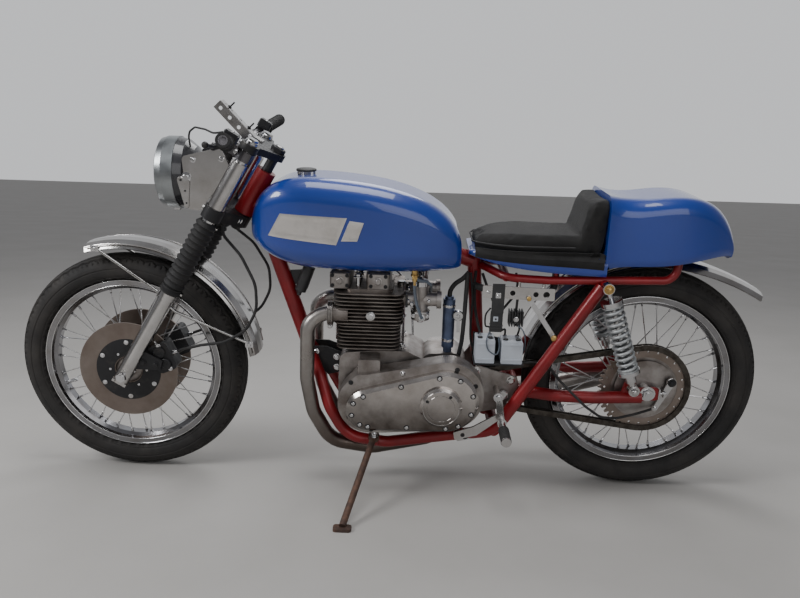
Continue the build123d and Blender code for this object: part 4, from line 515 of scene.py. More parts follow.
    def made(self, name, finish, body="frame", smooth=SMOOTH_ANGLE):
        """The piece itself, leaned into place, with its finish, riding on its body."""
        mesh = bpy.data.meshes.new(name)
        mesh.from_pydata([PLACE @ point for point in self.points], [], self.faces)
        cleaned(mesh)
        return finished(added(name, mesh), finish, body, smooth)


def forms(count):
    """Several empty forms."""
    return [Form() for index in range(count)]


def mirror(*sides):
    """Adds each form's other side."""
    for side in sides:
        side.mirror()


def cleaned(mesh, merge=None, shrink=None):
    """Merges a mesh's close points, turns its faces outward, and shrinks it about its middle."""
    shape = bmesh.new()
    shape.from_mesh(mesh)
    if merge is not None:
        bmesh.ops.remove_doubles(shape, verts=shape.verts, dist=merge)
    bmesh.ops.recalc_face_normals(shape, faces=shape.faces)
    if shrink is not None:
        middle = sum((vertex.co for vertex in shape.verts), Vector()) / len(shape.verts)
        for vertex in shape.verts:
            vertex.co = middle + (vertex.co - middle) * shrink
    shape.to_mesh(mesh)
    shape.free()


def shown_as(mesh, finish, smooth=SMOOTH_ANGLE):
    """Gives a mesh its material, and smooth shading between sharp edges."""
    mesh.materials.clear()
    mesh.materials.append(MATERIALS[finish])
    mesh.polygons.foreach_set("use_smooth", [True] * len(mesh.polygons))
    mesh.set_sharp_from_angle(angle=smooth)


def finished(piece, finish, body, smooth=SMOOTH_ANGLE):
    """Gives a piece its material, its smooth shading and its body."""
    shown_as(piece.data, finish, smooth)
    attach(piece, body)
    return piece


def sides_of(way):
    """Two directions square to a way."""
    way = Vector(way).normalized()
    across = way.cross(RIGHT if abs(way.y) < 0.9 else REAR).normalized()
    return across, way.cross(across).normalized()


def circle(centre, across, over, radius, count):
    """Points round a centre, in the plane of two directions."""
    return [centre + (across * cos(tau * k / count) + over * sin(tau * k / count)) * radius
            for k in range(count)]


def smooth_path(points, steps):
    """Points along a smooth line through the given ones."""
    points = [Vector(point) for point in points]
    if len(points) == 2:
        return points
    ends = [points[0] * 2 - points[1]] + points + [points[-1] * 2 - points[-2]]
    path = []
    for index in range(1, len(ends) - 2):
        before, start, end, after = ends[index - 1:index + 3]
        for step in range(steps):
            t = step / steps
            path.append(0.5 * (2 * start + (end - before) * t
                               + (2 * before - 5 * start + 4 * end - after) * t ** 2
                               + (3 * start - before - 3 * end + after) * t ** 3))
    return path + [points[-1]]


def arc(centre, radius, first, last, count):
    """Points of X and Z on an arc, in degrees."""
    step = (last - first) / (count - 1)
    return [(centre[0] + radius * cos(radians(first + step * k)),
             centre[1] + radius * sin(radians(first + step * k)))
            for k in range(count)]


# Wheels
TYRE_STEPS = 480
TREAD_BLOCKS = 60
TREAD_SHARE = 0.95


def tyre_section(outer, half, rim_half):
    """The tyre's section as points of Y and radius, close together across the tread."""
    bead, steps = rim_half - 3.3, 44
    wall = [(bead, 241.5), (bead, 249.0), (bead + 0.6, 255.8)]
    wall += [(half * share, radius) for share, radius in (
        (0.86, 261.5), (0.885, 263.5), (0.868, 264.5), (0.893, 266.6), (0.91, 267.2), (0.96, outer - 56),
        (1, outer - 46), (0.99, outer - 40), (0.965, outer - 39), (0.96, outer - 36), (0.982, outer - 35),
        (TREAD_SHARE, outer - 28))]
    shares = [1 - 2 * step / steps for step in range(1, steps)]
    crown = [(half * TREAD_SHARE * share, outer - 28 * abs(share) ** 2.35) for share in shares]
    return wall + crown + [(-across, radius) for across, radius in reversed(wall)]


def tread_depth(across, half, turn):
    """How deep the tread is cut at a place across the tyre and round it."""
    share = abs(across) / half
    if share > 0.9:
        return 0.0
    wave = sin(TREAD_BLOCKS * turn)
    for centre in (0.0, 0.3, 0.58):
        if abs(share - centre - (0.035 if centre else 0.05) * wave) < 0.045:
            return 4.5
    phase = (TREAD_BLOCKS * 2 * turn / tau + share * 0.9 + (0.5 if across > 0 else 0.0)) % 1.0
    if share > 0.62 and phase < 0.2:
        return 3.2 * min(1.0, (0.9 - share) / 0.08)
    return 0.0


def make_tyre(name, centre, outer, half, rim_half, body):
    """A tyre with a cut tread, in the solid tyre's place."""
    section = tyre_section(outer, half, rim_half)
    form = Form()
    rings = []
    middle = outer - 46
    for turn in (tau * step / TYRE_STEPS for step in range(TYRE_STEPS)):
        ring = []
        for across, radius in section:
            away = Vector((across, radius - middle)).normalized() * tread_depth(across, half, turn)
            across, radius = across - away.x, radius - away.y
            ring.append(Vector((centre.x + radius * cos(turn), across, centre.z + radius * sin(turn))))
        rings.append(ring)
    form.rings(rings, loop=True)
    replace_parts(form.made(name, "tyre", body, radians(38)), body.replace("_wheel", "_tyre"))


def make_rim_details(centre, rim_half, flange_r, flange_y, body):
    """The rim's rolled lips, spoke nipples on the rim, spoke heads on the hub flanges, and the tyre valve."""
    nipples, heads, lips = forms(3)
    for radius, bead in ((RIM_R - 1.4, 2.2), (RIM_R - 16.2, 1.5)):
        turns = [tau * k / 12 for k in range(12)]
        lips.band(centre, RIGHT,
                  [(rim_half - 0.5 + bead * cos(turn), radius + bead * sin(turn)) for turn in turns], 160)
    lips.mirror()
    pairs = SPOKE_COUNT // 4
    for side in SIDES:
        for index in range(pairs):
            base = 360.0 / pairs * (index + (0.25 if side > 0 else 0.0))
            for turn, step in ((1, 2.6), (-1, -2.6)):
                hub = polar(centre, flange_r + 1.7, base + turn * 9, side * (flange_y + step))
                rim = polar(centre, RIM_WELL_R - 0.8, base + turn * 47, side * (7 + step))
                back = (hub - rim).normalized()
                nipples.lathe(rim, back, ((0, 4.4), (1.6, 4.4), (2.2, 3.1), (12, 2.9), (13.5, 2.0)), 8)
                heads.lathe(hub - back, -back, ((-3, 1.5), (-1, 3.0), (1.5, 3.0), (4, 1.9)), 8)
    valve = polar(centre, RIM_WELL_R, 200)
    nipples.lathe(valve, centre - valve,
                  ((0, 5.5), (3, 5.5), (3.4, 3.4), (22, 3.2), (22.5, 4.2), (30, 4.2), (31, 3.0)), 14)
    lips.made(f"{body}_rim_lips", "chrome", body)
    nipples.made(f"{body}_nipples", "chrome", body)
    heads.made(f"{body}_spoke_heads", "spoke_steel", body)


def make_disc_carriers():
    """The black carriers bolted to the two front discs, with their bolts and the hub's end caps."""
    carriers, bolts = forms(2)
    face = DISC_Y + 2.5
    carriers.band(FRONT_AXLE + RIGHT * face, RIGHT,
                  ((0, 40), (0, 92), (1.0, 92), (2.0, 88), (2.2, 60), (2.2, 46), (1.2, 40)), 60)
    for index in range(6):
        bolts.bolt(polar(FRONT_AXLE, 82, 30 + 60 * index, face + 1.6), RIGHT, 4.6, 3.4)
        bolts.screw(polar(FRONT_AXLE, 52, 60 * index, face + 1.6), RIGHT, 3.6, 1.8)
    mirror(carriers, bolts)
    carriers.made("disc_carriers", "black_metal", "front_wheel")
    bolts.made("disc_bolts", "spoke_steel", "front_wheel")


# Fork, lamp and bars
def make_fork_details():
    """Axle clamps, gaiter bands, drain screws and the bolts of calipers and stays."""
    bright, dark = forms(2)
    for ahead in (-13, 13):
        bright.bar(leg(-8, LEG_Y, ahead), leg(-33, LEG_Y, ahead), 4.2)
        bright.bolt(leg(-25, LEG_Y, ahead), -FORK_UP, 7, 7)
    bright.block(leg(-24.5, LEG_Y), FORK_AHEAD * 21, (0, 17, 0), FORK_UP * 5)
    bright.screw(leg(22, LEG_Y, 0.5 - SLIDER_R), -FORK_AHEAD, 5, 2.4)
    bright.bolt(leg(20, LEG_Y + SLIDER_R - 0.5), RIGHT, 4.5, 3)
    dark.ring(leg(GAITER_LOW + 5, LEG_Y), FORK_UP, 26, 29.6, 7)
    dark.band(leg(GAITER_TOP - 10, LEG_Y), FORK_UP, ((0, 22), (0, 26.5), (7, 25), (7, 21)), 48)
    for x, z in ((58, 366), (92, 360)):
        dark.bolt((x, LEG_Y + 6, z), RIGHT, 6.5, 5)
    dark.bolt(leg(240, LEG_Y - SLIDER_R + 0.5, 4), LEFT, 5, 4)
    mirror(bright, dark)
    for along, radius in ((GAITER_LOW + 8.5, 31), (GAITER_TOP - 6.5, 27)):
        for y in (-LEG_Y, LEG_Y):
            bright.block(leg(along, y, -radius), FORK_AHEAD * 3, (0, 6, 0), FORK_UP * 3)
            bright.screw(leg(along, y + 6, -radius), RIGHT, 2.6, 2)
    bright.made("fork_fittings", "polished_alloy", "steering")
    dark.made("fork_bands", "black_metal", "steering")


def make_caliper_details():
    """Pistons, bleed screws and hose unions on the calipers."""
    dark, bright = forms(2)
    turn = radians(CALIPER_TURN)
    back, along = Vector((cos(turn), 0, sin(turn))), Vector((-sin(turn), 0, cos(turn)))
    centre = polar(FRONT_AXLE, DISC_R - 22, CALIPER_TURN)
    for shift in (-19, 19):
        spot = centre + RIGHT * (DISC_Y + 27)
        dark.lathe(spot + along * shift, RIGHT, ((0, 17), (4, 17), (5.5, 15), (5.5, 9), (4.5, 8)), 30)
        bright.bolt(spot + along * shift * 1.9 + back * 6 + LEFT, RIGHT, 4.6, 4)
    bright.lathe(centre + back * 28 + RIGHT * 76, back,
                 ((-1, 7), (4, 7), (5, 5.5), (9, 5.5), (10, 4.5), (16, 4.5)), 14)
    bright.lathe(centre + along * 41 + RIGHT * (DISC_Y + 20), along,
                 ((-1, 4), (4, 4), (5, 2.6), (11, 2.6), (12, 1.8)), 12)
    mirror(dark, bright)
    dark.made("caliper_caps", "black_metal", "steering")
    bright.made("caliper_fittings", "chrome", "steering")


def make_lamp_details():
    """The reflector and bulb behind the glass, the rim's clamp screw, the side bolts, and a drilled plate whose
    holes are dark discs of painted shade.
    """
    front = Vector((LAMP_X - 39, 0, LAMP_Z))
    bowl, bulb, bright, pale, dark = forms(5)
    rows = ((9, 82), (16, 80), (26, 71), (36, 54), (43, 33), (46, 15))
    shell = [(along + 1.4, radius + 0.6) for along, radius in reversed(rows)]
    bowl.band(front, REAR, rows + tuple(shell), 72)
    bulb.lathe(front + REAR * 24, REAR,
               ((0, 2), (1.5, 6), (5, 8.5), (12, 8.5), (20, 6), (24, 9), (30, 9)), 24)
    for x, z, size in ((206, LAMP_Z, 9), (300, 932, 5), (226, 928, 5)):
        bright.bolt((x, 90, z), RIGHT, size, size - 1)
    mirror(bright)
    bright.box((LAMP_X - 8, 0, LAMP_Z - LAMP_R - 3), 9, 7, 4)
    bright.screw((LAMP_X - 17, 0, LAMP_Z - LAMP_R - 3), -REAR, 3.2, 2.4)
    pale.prism(arc((191, 876), 9, 60, 200, 8) + arc((204, 808), 6, 215, 330, 6)
               + arc((208, 872), 7, 0, 60, 4), -94, -90.6)
    # Dark discs on the plate's face where its holes are: painted shade of the holes
    for x, z, radius in ((192, 876, 3.4), (202, 848, 2.6), (204, 816, 2.6)):
        dark.lathe((x, -93.8, z), LEFT, ((0, radius), (0.5, radius), (0.6, radius * 0.8)), 18)
    dark.tube(((LAMP_X + 74, 20, LAMP_Z - 8), (262, 22, 862), (300, 30, 850), (322, 24, 884),
               (330, 12, 930)), 5.5)
    dark.tube(((LAMP_X + 66, -34, LAMP_Z - 28), (244, -40, 838), (282, -40, 820), (300, -30, 846),
               (312, -26, 900)), 3.5)
    bowl.made("lamp_reflector", "chrome", "steering")
    bulb.made("lamp_bulb", "lens", "steering")
    bright.made("lamp_bolts", "chrome", "steering")
    pale.made("lamp_drilled_plate", "polished_alloy", "steering")
    dark.made("lamp_leads_and_painted_holes", "rubber", "steering")


def bar_point(back_from_end=0.0, up=0.0, ahead=0.0):
    """A point of the right handlebar: distance back from its end, and distances off its axis."""
    foot = leg(BAR_ALONG, LEG_Y, BAR_AHEAD)
    tip = leg(BAR_ALONG + BAR_RISE, BAR_END, BAR_AHEAD - BAR_SWEEP)
    return tip + (foot - tip).normalized() * back_from_end + FORK_UP * up + FORK_AHEAD * ahead


def make_bar_details():
    """Grip ribs, the levers' bolts and cable ends, clamp bolts and the yokes' pinch bolts."""
    rubber, dark, bright = forms(3)
    for step in range(17):
        rubber.band(bar_point(4 + step * 6.2), bar_point(10) - bar_point(),
                    ((0, 15.5), (0.8, 17.4), (3.2, 17.4), (4.0, 15.5)), 28)
    middle = GRIP_LENGTH + 22
    top = bar_point(middle + 6, 30.2)
    dark.block(top, (0, 12, 0), FORK_AHEAD * 16, FORK_UP * 2.2)
    for shift in (-8, 8):
        bright.screw(top + RIGHT * shift + FORK_UP * 2, FORK_UP, 2.6, 1.8)
    bright.bolt(bar_point(middle, -15, 24), -FORK_UP, 5, 4)
    bright.bolt(leg(BAR_ALONG, LEG_Y + 12.5, 22), RIGHT, 5, 5)
    bright.bolt(leg(UPPER_YOKE_ALONG, LEG_Y, 24.5), FORK_AHEAD, 5, 5)
    bright.bolt(leg(539, LEG_Y, 26.5), FORK_AHEAD, 6, 6)
    bright.disc(leg(754.5, LEG_Y), FORK_UP, 17.0, 2.5, 3.5, 15.8, 28)
    mirror(rubber, dark, bright)
    bright.bolt(leg(540, -33, -58), LEFT, 8, 8)
    dark.disc(leg(521, 0, -56), -FORK_UP, 20, 4, 5, 17, 24)
    dark.bolt(leg(517, 0, -56), -FORK_UP, 14, 12, washer=False)
    bright.disc(leg(761.5, 0, -56), FORK_UP, 12, 4, 6, 9, 6)
    way = STRIP_TOP - STRIP_FOOT
    square = Vector((way.z, 0, -way.x)).normalized()
    for share in (0.82, 0.3):
        spot = STRIP_FOOT + way * share + RIGHT * 9
        dark.bolt(spot + square * 2, square, 4, 3)
        dark.bar(spot, spot + square * 20, 2.2)
    rubber.made("grip_ribs", "rubber", "steering", radians(50))
    dark.made("bar_fittings", "black_metal", "steering")
    bright.made("bar_bolts", "chrome", "steering")


STRIP_FOOT, STRIP_TOP = leg(749.3), Vector((284, 0, 1074))


def make_strip_flange():
    """The drilled side flange that makes the strip over the top yoke an angle."""
    way = (STRIP_TOP - STRIP_FOOT).normalized()
    down = Vector((-way.z, 0, way.x))
    length = (STRIP_TOP - STRIP_FOOT).length
    depth, hole_r, count, faces_y = 24.0, 5.0, 6, (-18.8, -17.0)
    half = depth / 2
    holes = (length * 0.42, length * 0.66, length * 0.9)
    edges = [length * 0.2] + [hole + shift for hole in holes for shift in (-half, half)] + [length + 0.5]
    slides = [depth * k / count for k in range(count + 1)]
    flats = []
    for low, high in zip(edges[::2], edges[1::2]):
        flats.append([(low, slide) for slide in slides] + [(high, slide) for slide in reversed(slides)])
    for hole in holes:
        low, high = hole - half, hole + half
        square = [(low, slide) for slide in slides[:-1]] + [(low + slide, depth) for slide in slides[:-1]]
        square += [(high, slide) for slide in slides[:0:-1]] + [(low + slide, 0.0) for slide in slides[:0:-1]]
        inside = []
        for along, across in square:
            turn = atan2(across - half, along - hole)
            inside.append((hole + hole_r * cos(turn), half + hole_r * sin(turn)))
        for k in range(len(square)):
            flats.append([square[k - 1], square[k], inside[k], inside[k - 1]])

    form = Form()
    flats = [[(round(along, 6), round(across, 6)) for along, across in flat] for flat in flats]
    borders = Counter(tuple(sorted(pair)) for flat in flats for pair in zip(flat, flat[1:] + flat[:1]))
    walls = [pair for pair, uses in borders.items() if uses == 1]

    def spot(place, y):
        return STRIP_FOOT + way * place[0] + down * place[1] + RIGHT * y

    for y in faces_y:
        for flat in flats:
            form.add([spot(place, y) for place in flat], [tuple(range(len(flat)))])
    for start, end in walls:
        form.add([spot(start, faces_y[0]), spot(end, faces_y[0]), spot(end, faces_y[1]),
                  spot(start, faces_y[1])],
                 [(0, 1, 2, 3)])
    piece = form.made("strip_flange", "polished_alloy", "steering")
    cleaned(piece.data, merge=0.00001)
    piece.data.set_sharp_from_angle(angle=SMOOTH_ANGLE)


# Tank and seat
def surface_finder(name):
    """A function that finds where a ray across the machine meets a node's surface."""
    mesh = NODES[name].data
    tree = BVHTree.FromPolygons([vertex.co for vertex in mesh.vertices],
                                [poly.vertices[:] for poly in mesh.polygons])
    back = PLACE.inverted()

    def find(start, way):
        origin = PLACE @ Vector(start)
        direction = (PLACE.to_3x3() @ Vector(way)).normalized()
        hit = tree.ray_cast(origin, direction)
        return None if hit[0] is None else back @ hit[0]
    return find


def make_badges():
    """The blank badge plates on the tank's flanks: a long one and a short one behind it, each framed."""
    find = surface_finder("fuel_tank")
    columns, rows = 30, 12
    across, upright = 22, 7     # frame widths in one plate
    for side, name in zip(SIDES, ("left", "right")):
        for part, corners in (("long", BADGE_LONG), ("short", BADGE_SHORT)):
            low_front, low_rear, high_rear, high_front = (Vector(corner) for corner in corners)
            rings = []
            for u in (column / columns for column in range(columns + 1)):
                back, face = [], []
                for v in (row / rows for row in range(rows + 1)):
                    spot = low_front.lerp(low_rear, u).lerp(high_front.lerp(high_rear, u), v)
                    edge = min(u * across, (1 - u) * across, v * upright, (1 - v) * upright)
                    hit = find((spot.x, side * 220, spot.y), LEFT * side)
                    back.append(hit - RIGHT * side * 0.6)
                    face.append(hit + RIGHT * side * (1.9 if 0.35 < edge < 0.95 else 1.0))
                rings.append(face + back[::-1])
            plate = Form()
            plate.rings(rings)
            plate.made(f"tank_badge_{part}_{name}", "badge", smooth=radians(20))


def make_tank_details():
    """The filler cap's milled ring and lid, and the fuel tap with its hoses."""
    ring, lid, tap, hose = forms(4)
    ring.milled((CAP_X, 0, CAP_Z), CAP_R, 1.2, ((-2, 1.0), (-1, 0.0), (6, 0.0), (7, 1.6)), 72)
    lid.lathe((CAP_X, 0, CAP_Z + 6.5), UP,
              ((0, 25), (0.8, 27.4), (4.4, 27.4), (6.2, 26), (7.2, 21), (7.4, 6)), 64)
    tap.lathe((806, -84, 652), DOWN, ((0, 9), (10, 9), (11, 11), (16, 11), (17, 7), (30, 7), (31, 5)), 18)
    tap.lathe((806, -84, 634), LEFT, ((4, 6), (10, 6), (11, 7.5), (14, 7.5), (15, 6)), 16)
    tap.box((806, -100, 626), 3.2, 2, 12)
    hose.tube(((806, -84, 622), (806, -86, 604), (812, -92, 566), (822, -92, 536), (829, -86, 517)), 4.2)
    hose.tube(((806, -80, 626), (846, -66, 612), (852, -20, 580), (850, 50, 540), (829, 82, 517)), 4.2)
    ring.made("filler_ring", "chrome")
    lid.made("filler_lid", "black_plastic")
    tap.made("fuel_tap", "brass")
    hose.made("fuel_hoses", "hose")


def make_seat():
    """The padded seat and its backrest as one cloth-covered cushion."""
    mesh = NODES["seat_pad"].data.copy()
    mesh.name = "seat_cushion"
    cleaned(mesh, merge=0.00002, shrink=0.975)
    piece = added("seat_cushion", mesh)
    bpy.context.view_layer.objects.active = piece
    remesh = piece.modifiers.new("voxels", "REMESH")
    remesh.mode = "VOXEL"
    remesh.voxel_size = 0.0055
    baked(piece)
    rest = [vertex.co.copy() for vertex in piece.data.vertices]
    cloth = piece.modifiers.new("cloth", "CLOTH")
    cloth.settings.quality = 5
    cloth.settings.use_pressure = True
    cloth.settings.uniform_pressure_force = 4.0
    cloth.settings.effector_weights.gravity = 0.0
    cloth.settings.tension_stiffness = 20.0
    cloth.settings.bending_stiffness = 2.0
    cloth.point_cache.frame_end = SEAT_CLOTH_FRAMES
    for step in range(1, SEAT_CLOTH_FRAMES + 1):
        bpy.context.scene.frame_set(step)
    baked(piece)
    bpy.context.scene.frame_set(1)
    # The cloth moves a few millimetres at most, and stays above the moulding
    base = PLACE @ Vector((1100, 0, SEAT_PAN_TOP))
    up = (PLACE.to_3x3() @ UP).normalized()
    for vertex, start in zip(piece.data.vertices, rest):
        moved = vertex.co - start
        if moved.length > SEAT_CLOTH_REACH:
            vertex.co = start + moved.normalized() * SEAT_CLOTH_REACH
        under = (vertex.co - base).dot(up)
        if under < 0:
            vertex.co -= up * under
    piece.modifiers.new("smooth", "SUBSURF").levels = 1
    baked(piece)
    finished(piece, "seat_cloth", "frame", radians(80))
    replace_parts(piece, "seat_pad")


def baked(piece):
    """Applies a piece's modifiers to its mesh."""
    graph = bpy.context.evaluated_depsgraph_get()
    made = bpy.data.meshes.new_from_object(piece.evaluated_get(graph))
    piece.modifiers.clear()
    piece.data = made


def make_seat_piping():
    """The piping round the seat's lower edge."""
    find = surface_finder("seat_pad")
    hits = [find((x, -200, 733), RIGHT) for x in range(968, 1232, 12)]
    edge = [hit + LEFT * 0.4 for hit in hits if hit]
    mirrored = [Vector((spot.x, -spot.y, spot.z)) for spot in reversed(edge)]
    front = [Vector((957.0, y, 731)) for y in (54, 30, 0, -30, -54)]
    piping = Form()
    piping.tube(mirrored + front + edge, 2.4, 8, 3)
    piping.made("seat_piping", "seat_trim")


def make_seat_skirt():
    """The cushion's covered sides, which hang over the moulding's upper edge as far as the hump."""
    skirt = Form()
    finders = surface_finder("seat_unit"), surface_finder("seat_pad")
    # Share of the height, how far it stands out, how far it goes in
    rows = ((0.0, 0.4, 1), (0.08, 2.0, 1), (0.25, 2.6, 1), (0.5, 2.8, 1), (0.78, 2.4, 1), (1.0, -1.5, 6))
    for side in SIDES:
        rings = []
        for x in range(964, 1298, 9):
            low, high = 695 - (x - 964) * 0.052, 719
            outer, inner = [], []
            for share, proud, inside in rows:
                z = low + (high - low) * share
                hits = [find((x + along, -200, z - drop), RIGHT)
                        for find in finders for along in (-4, 0, 4) for drop in (0, 2, 4)]
                reach = max(abs(hit.y) for hit in hits if hit)
                outer.append(Vector((x, side * (reach + proud), z)))
                inner.append(Vector((x, side * (reach - inside), z)))
            rings.append(outer + inner[::-1])
        skirt.rings(rings)
    skirt.made("seat_skirt", "seat_cloth")


# Engine
def make_engine_details():
    """Cover screws, rocker spindle nuts, head bolts, pushrod tubes, mounting plates and the oil pipe."""
    bright, dark, tubes, alloy, caps = forms(5)
    for x in (604, 708):
        caps.disc((x, 83.8, ROCKER_Z), RIGHT, 11.5, 2.2, 2.8, 10, 28)
        caps.disc((x, 86.2, ROCKER_Z), RIGHT, 8.5, 4.4, 5.4, 7.2, 6)
        for shift_x, shift_z in product((-20, 20), (-14, 14)):
            dark.bolt((x + shift_x, 84, ROCKER_Z + shift_z), RIGHT, 3.6, 3)
    bright.bar((690, 98, 526), (690, 109, 526), 6)
    dark.prism(((513, 372), (520, 404), (562, 404), (606, 388), (606, 330), (566, 318)), 24, 29)
    for x, y, z, size in ((690, 108, 526, 8.5), (985, 91.5, 371, 8.5), (1082, 91.5, 347, 8.5),
                          (980, 91.5, 258, 8.5), (530, 29, 388, 7), (590, 29, 374, 7), (590, 29, 342, 7)):
        bright.bolt((x, y, z), RIGHT, size, 7 if size > 7 else 6)
    for y in (22, 64):
        bright.bar((653, y, 594), (653, y, 626), 6, 16)
        bright.bolt((653, y, 624), UP, 9, 8)
    for x in (622, 778):
        bright.bar((x, 58, 410), (x, 58, 430), 4.5)
        bright.bolt((x, 58, 424), UP, 7.5, 7)
    mirror(bright, dark, caps)
    # The covers on the left
    small, large, clutch = Vector((690, -175.4, 276)), Vector((902, -175.4, 308)), Vector((888, -188.6, 298))
    spots = [polar(small, 45, turn, small.y) for turn in (106, 150, 196, 242, 271)]
    spots += [polar(large, 75, turn, large.y) for turn in (106, 62, 18, -24, -62, -89)]
    spots += [(spots[0] + spots[5]) / 2 + UP * 2, (spots[4] + spots[10]) / 2]
    for spot in spots:
        dark.lathe(spot, LEFT, ((0, 8.2), (0.9, 7.8), (1.0, 6.4)), 22)
        bright.screw(spot + LEFT * 0.8, LEFT, 5.0, 2.6)
    for low, high in ((47.2, 49.8), (37.0, 38.6)):
        alloy.band(clutch, LEFT, ((0, low), (0, high), (1.6, high - 0.7), (1.6, low + 0.7)), 64)
    for turn in (152, 55):
        dark.lathe(polar(clutch, 42.5, turn, clutch.y), LEFT, ((0, 4.6), (0.9, 4.4), (0.9, 2.0)), 18)
    alloy.disc((782, -149.6, 381), LEFT, 9, 3, 4, 7.5, 6)
    bright.lathe((782, -152, 381), LEFT, ((0, 6.5), (4, 6.5), (7, 4.5), (8, 2)), 18)
    for x, z in ((640, 352), (634, 244), (700, 206), (790, 214), (860, 224), (950, 232), (990, 290),
                 (984, 352), (930, 400)):
        spot, near = Vector((x, -149.8, z)), small if x < 800 else large
        dark.bolt(spot + Vector((near.x - x, 0, near.z - z)).normalized() * 4, LEFT, 4.6, 3.4)
    # The covers on the right
    for y, spots in ((106.2, ((628, 306), (656, 384), (762, 388), (806, 322), (770, 236), (684, 222))),
                     (100.4, ((860, 238), (860, 384), (922, 390), (944, 370), (944, 250), (898, 228)))):
        for x, z in spots:
            bright.screw((x, y, z), RIGHT, 4.6, 2.4)
    alloy.lathe((888, 105.6, 330), RIGHT, ((0, 20), (5, 20), (7, 17), (7, 9), (18, 9), (19, 8)), 30)
    alloy.lathe((700, 111.6, 300), RIGHT, ((0, 36), (3, 36), (5, 33), (5, 4)), 48)
    # Down the middle
    for x in (597, 770):
        tubes.bar((x, 0, 417), (x, 0, 598), 12.5, 26)
        tubes.ring((x, 0, 494), UP, 12, 16, 8, 30)
    tubes.tube(((604, 94, 617), (630, 100, 606), (680, 100, 606), (708, 94, 617), (744, 98, 606),
                (784, 104, 560), (800, 100, 480), (806, 86, 404)), 3.2)
    dark.bolt((690, 0, 188), DOWN, 12, 8)
    bright.lathe((606, -40, 320), -REAR, ((-4, 15), (6, 15), (8, 12)), 6)
    bright.made("engine_bolts", "chrome")
    dark.made("engine_dark_parts", "black_metal")
    tubes.made("engine_tubes", "chrome")
    alloy.made("engine_cover_rings", "polished_alloy")
    caps.made("rocker_caps", "cast_alloy")


def make_exhaust_details():
    """The finned clamp rings at the ports, the clamp under the engine and the silencer's bands."""
    rings, bolts = forms(2)
    for x in (572.5, 576.5, 580.5, 584.5):
        rings.ring((x, 84, PORT_Z), REAR, 25, 33, 2.0, 44)
    rings.box((578, 84, 490), 7, 9, 6)
    bolts.bolt((578, 93, 489), RIGHT, 5, 5)
    mirror(rings, bolts)
    start, end = Vector((1110, 172, 186)), Vector((1500, 172, 298))
    way = (end - start).normalized()
    for along, inner, outer, width, count in ((92, 37.4, 40, 12, 60), (318, 37.4, 40, 12, 60),
                                              (-16, 23, 26, 10, 44)):
        rings.ring(start + way * along, way, inner, outer, width, count)
    rings.made("exhaust_rings", "pipe_steel")
    bolts.made("exhaust_bolts", "chrome")


def make_carburettor_details():
    """Knurled chamber tops, drain plugs, banjo bolts, adjusters, and the throttle cables."""
    bright, dark, cable = forms(3)
    bright.milled((CARBURETTOR_X, CARBURETTOR_Y, 603), 22.4, -0.7,
                  ((0, 1.2), (1, 0.0), (13.5, 0.0), (15, 1.6)), 48)
    bright.lathe((CARBURETTOR_X, CARBURETTOR_Y, 617.5), UP,
                 ((0, 6), (5, 6), (6, 4.5), (14, 4.5), (15, 3.5)), 6)
    bright.lathe((CARBURETTOR_X, CARBURETTOR_Y, 509), DOWN,
                 ((0, 12), (4, 12), (5, 10), (5, 8), (11, 8), (12, 6.5)), 6)
    bright.ring((CARBURETTOR_X, CARBURETTOR_Y, 528), UP, 24.5, 26.6, 4)
    for shift in (-18, 18):
        bright.bolt((CARBURETTOR_X + shift, 76.5, 521), RIGHT, 4.2, 3.6)
    bright.bolt((829, 82.4, 517), RIGHT, 6.2, 6)
    bright.lathe((800, 70, 556), RIGHT, ((0, 7), (9, 7), (10, 5.5), (14, 5.5), (15, 4)), 16)
    bright.lathe((846, 72, 566), RIGHT, ((0, 5), (6, 5), (7, 4), (12, 4), (12.6, 2.6)), 14)
    dark.lathe((880, CARBURETTOR_Y, 564), REAR, ((-0.4, 20.5), (0.4, 20.5), (0.5, 19)), 40)
    dark.box((786, CARBURETTOR_Y, 564), 3, 27, 17)
    for shift in (-21, 21):
        bright.bolt((789, CARBURETTOR_Y + shift, 564), REAR, 5, 5)
    cable.tube(((CARBURETTOR_X, CARBURETTOR_Y, 630), (822, 56.84, 638), (806, 46.4, 642), (772, 29, 641),
                (748, 17.4, 640)), 2.6)
    mirror(bright, dark, cable)
    bright.made("carburettor_brights", "chrome")
    dark.made("carburettor_dark_parts", "black_plastic")
    cable.made("throttle_cables", "rubber")


def make_breather_details():
    """The round fitting on the breather bottle, its lever, and the hoses beside the seat tube."""
    bright, hose = forms(2)
    bright.lathe((929, -34, 519), LEFT, ((0, 12), (14, 12), (15, 15.5), (24, 15.5), (27, 13), (28, 7)), 36)
    bright.disc((929, -61, 519), LEFT, 6, 3, 4, 4.6, 6)
    bright.block((930, -60, 494), (4.5, 0, 0), (0, 1.6, 0), (-1, 0, 22))
    for z in (440, 540):
        bright.ring((904, -38, z), UP, 16.6, 18.2, 7, 40)
        bright.box((904, -57.5, z + 3.5), 4, 2.5, 3.5)
    hose.tube(((904, -38, 566), (906, -38, 586), (918, -40, 606), (938, -42, 622), (954, -40, 640)), 6.5, 14)
    hose.tube(((950, -46, 640), (948, -54, 590), (946, -56, 520), (943, -54, 450), (938, -50, 412),
               (936, -48, 400)), 6.0, 14)
    hose.tube(((960, -30, 636), (968, -36, 560), (966, -40, 480), (972, -46, 430), (992, -50, 408)), 3.2)
    bright.made("breather_fittings", "chrome")
    hose.made("breather_hoses", "rubber")


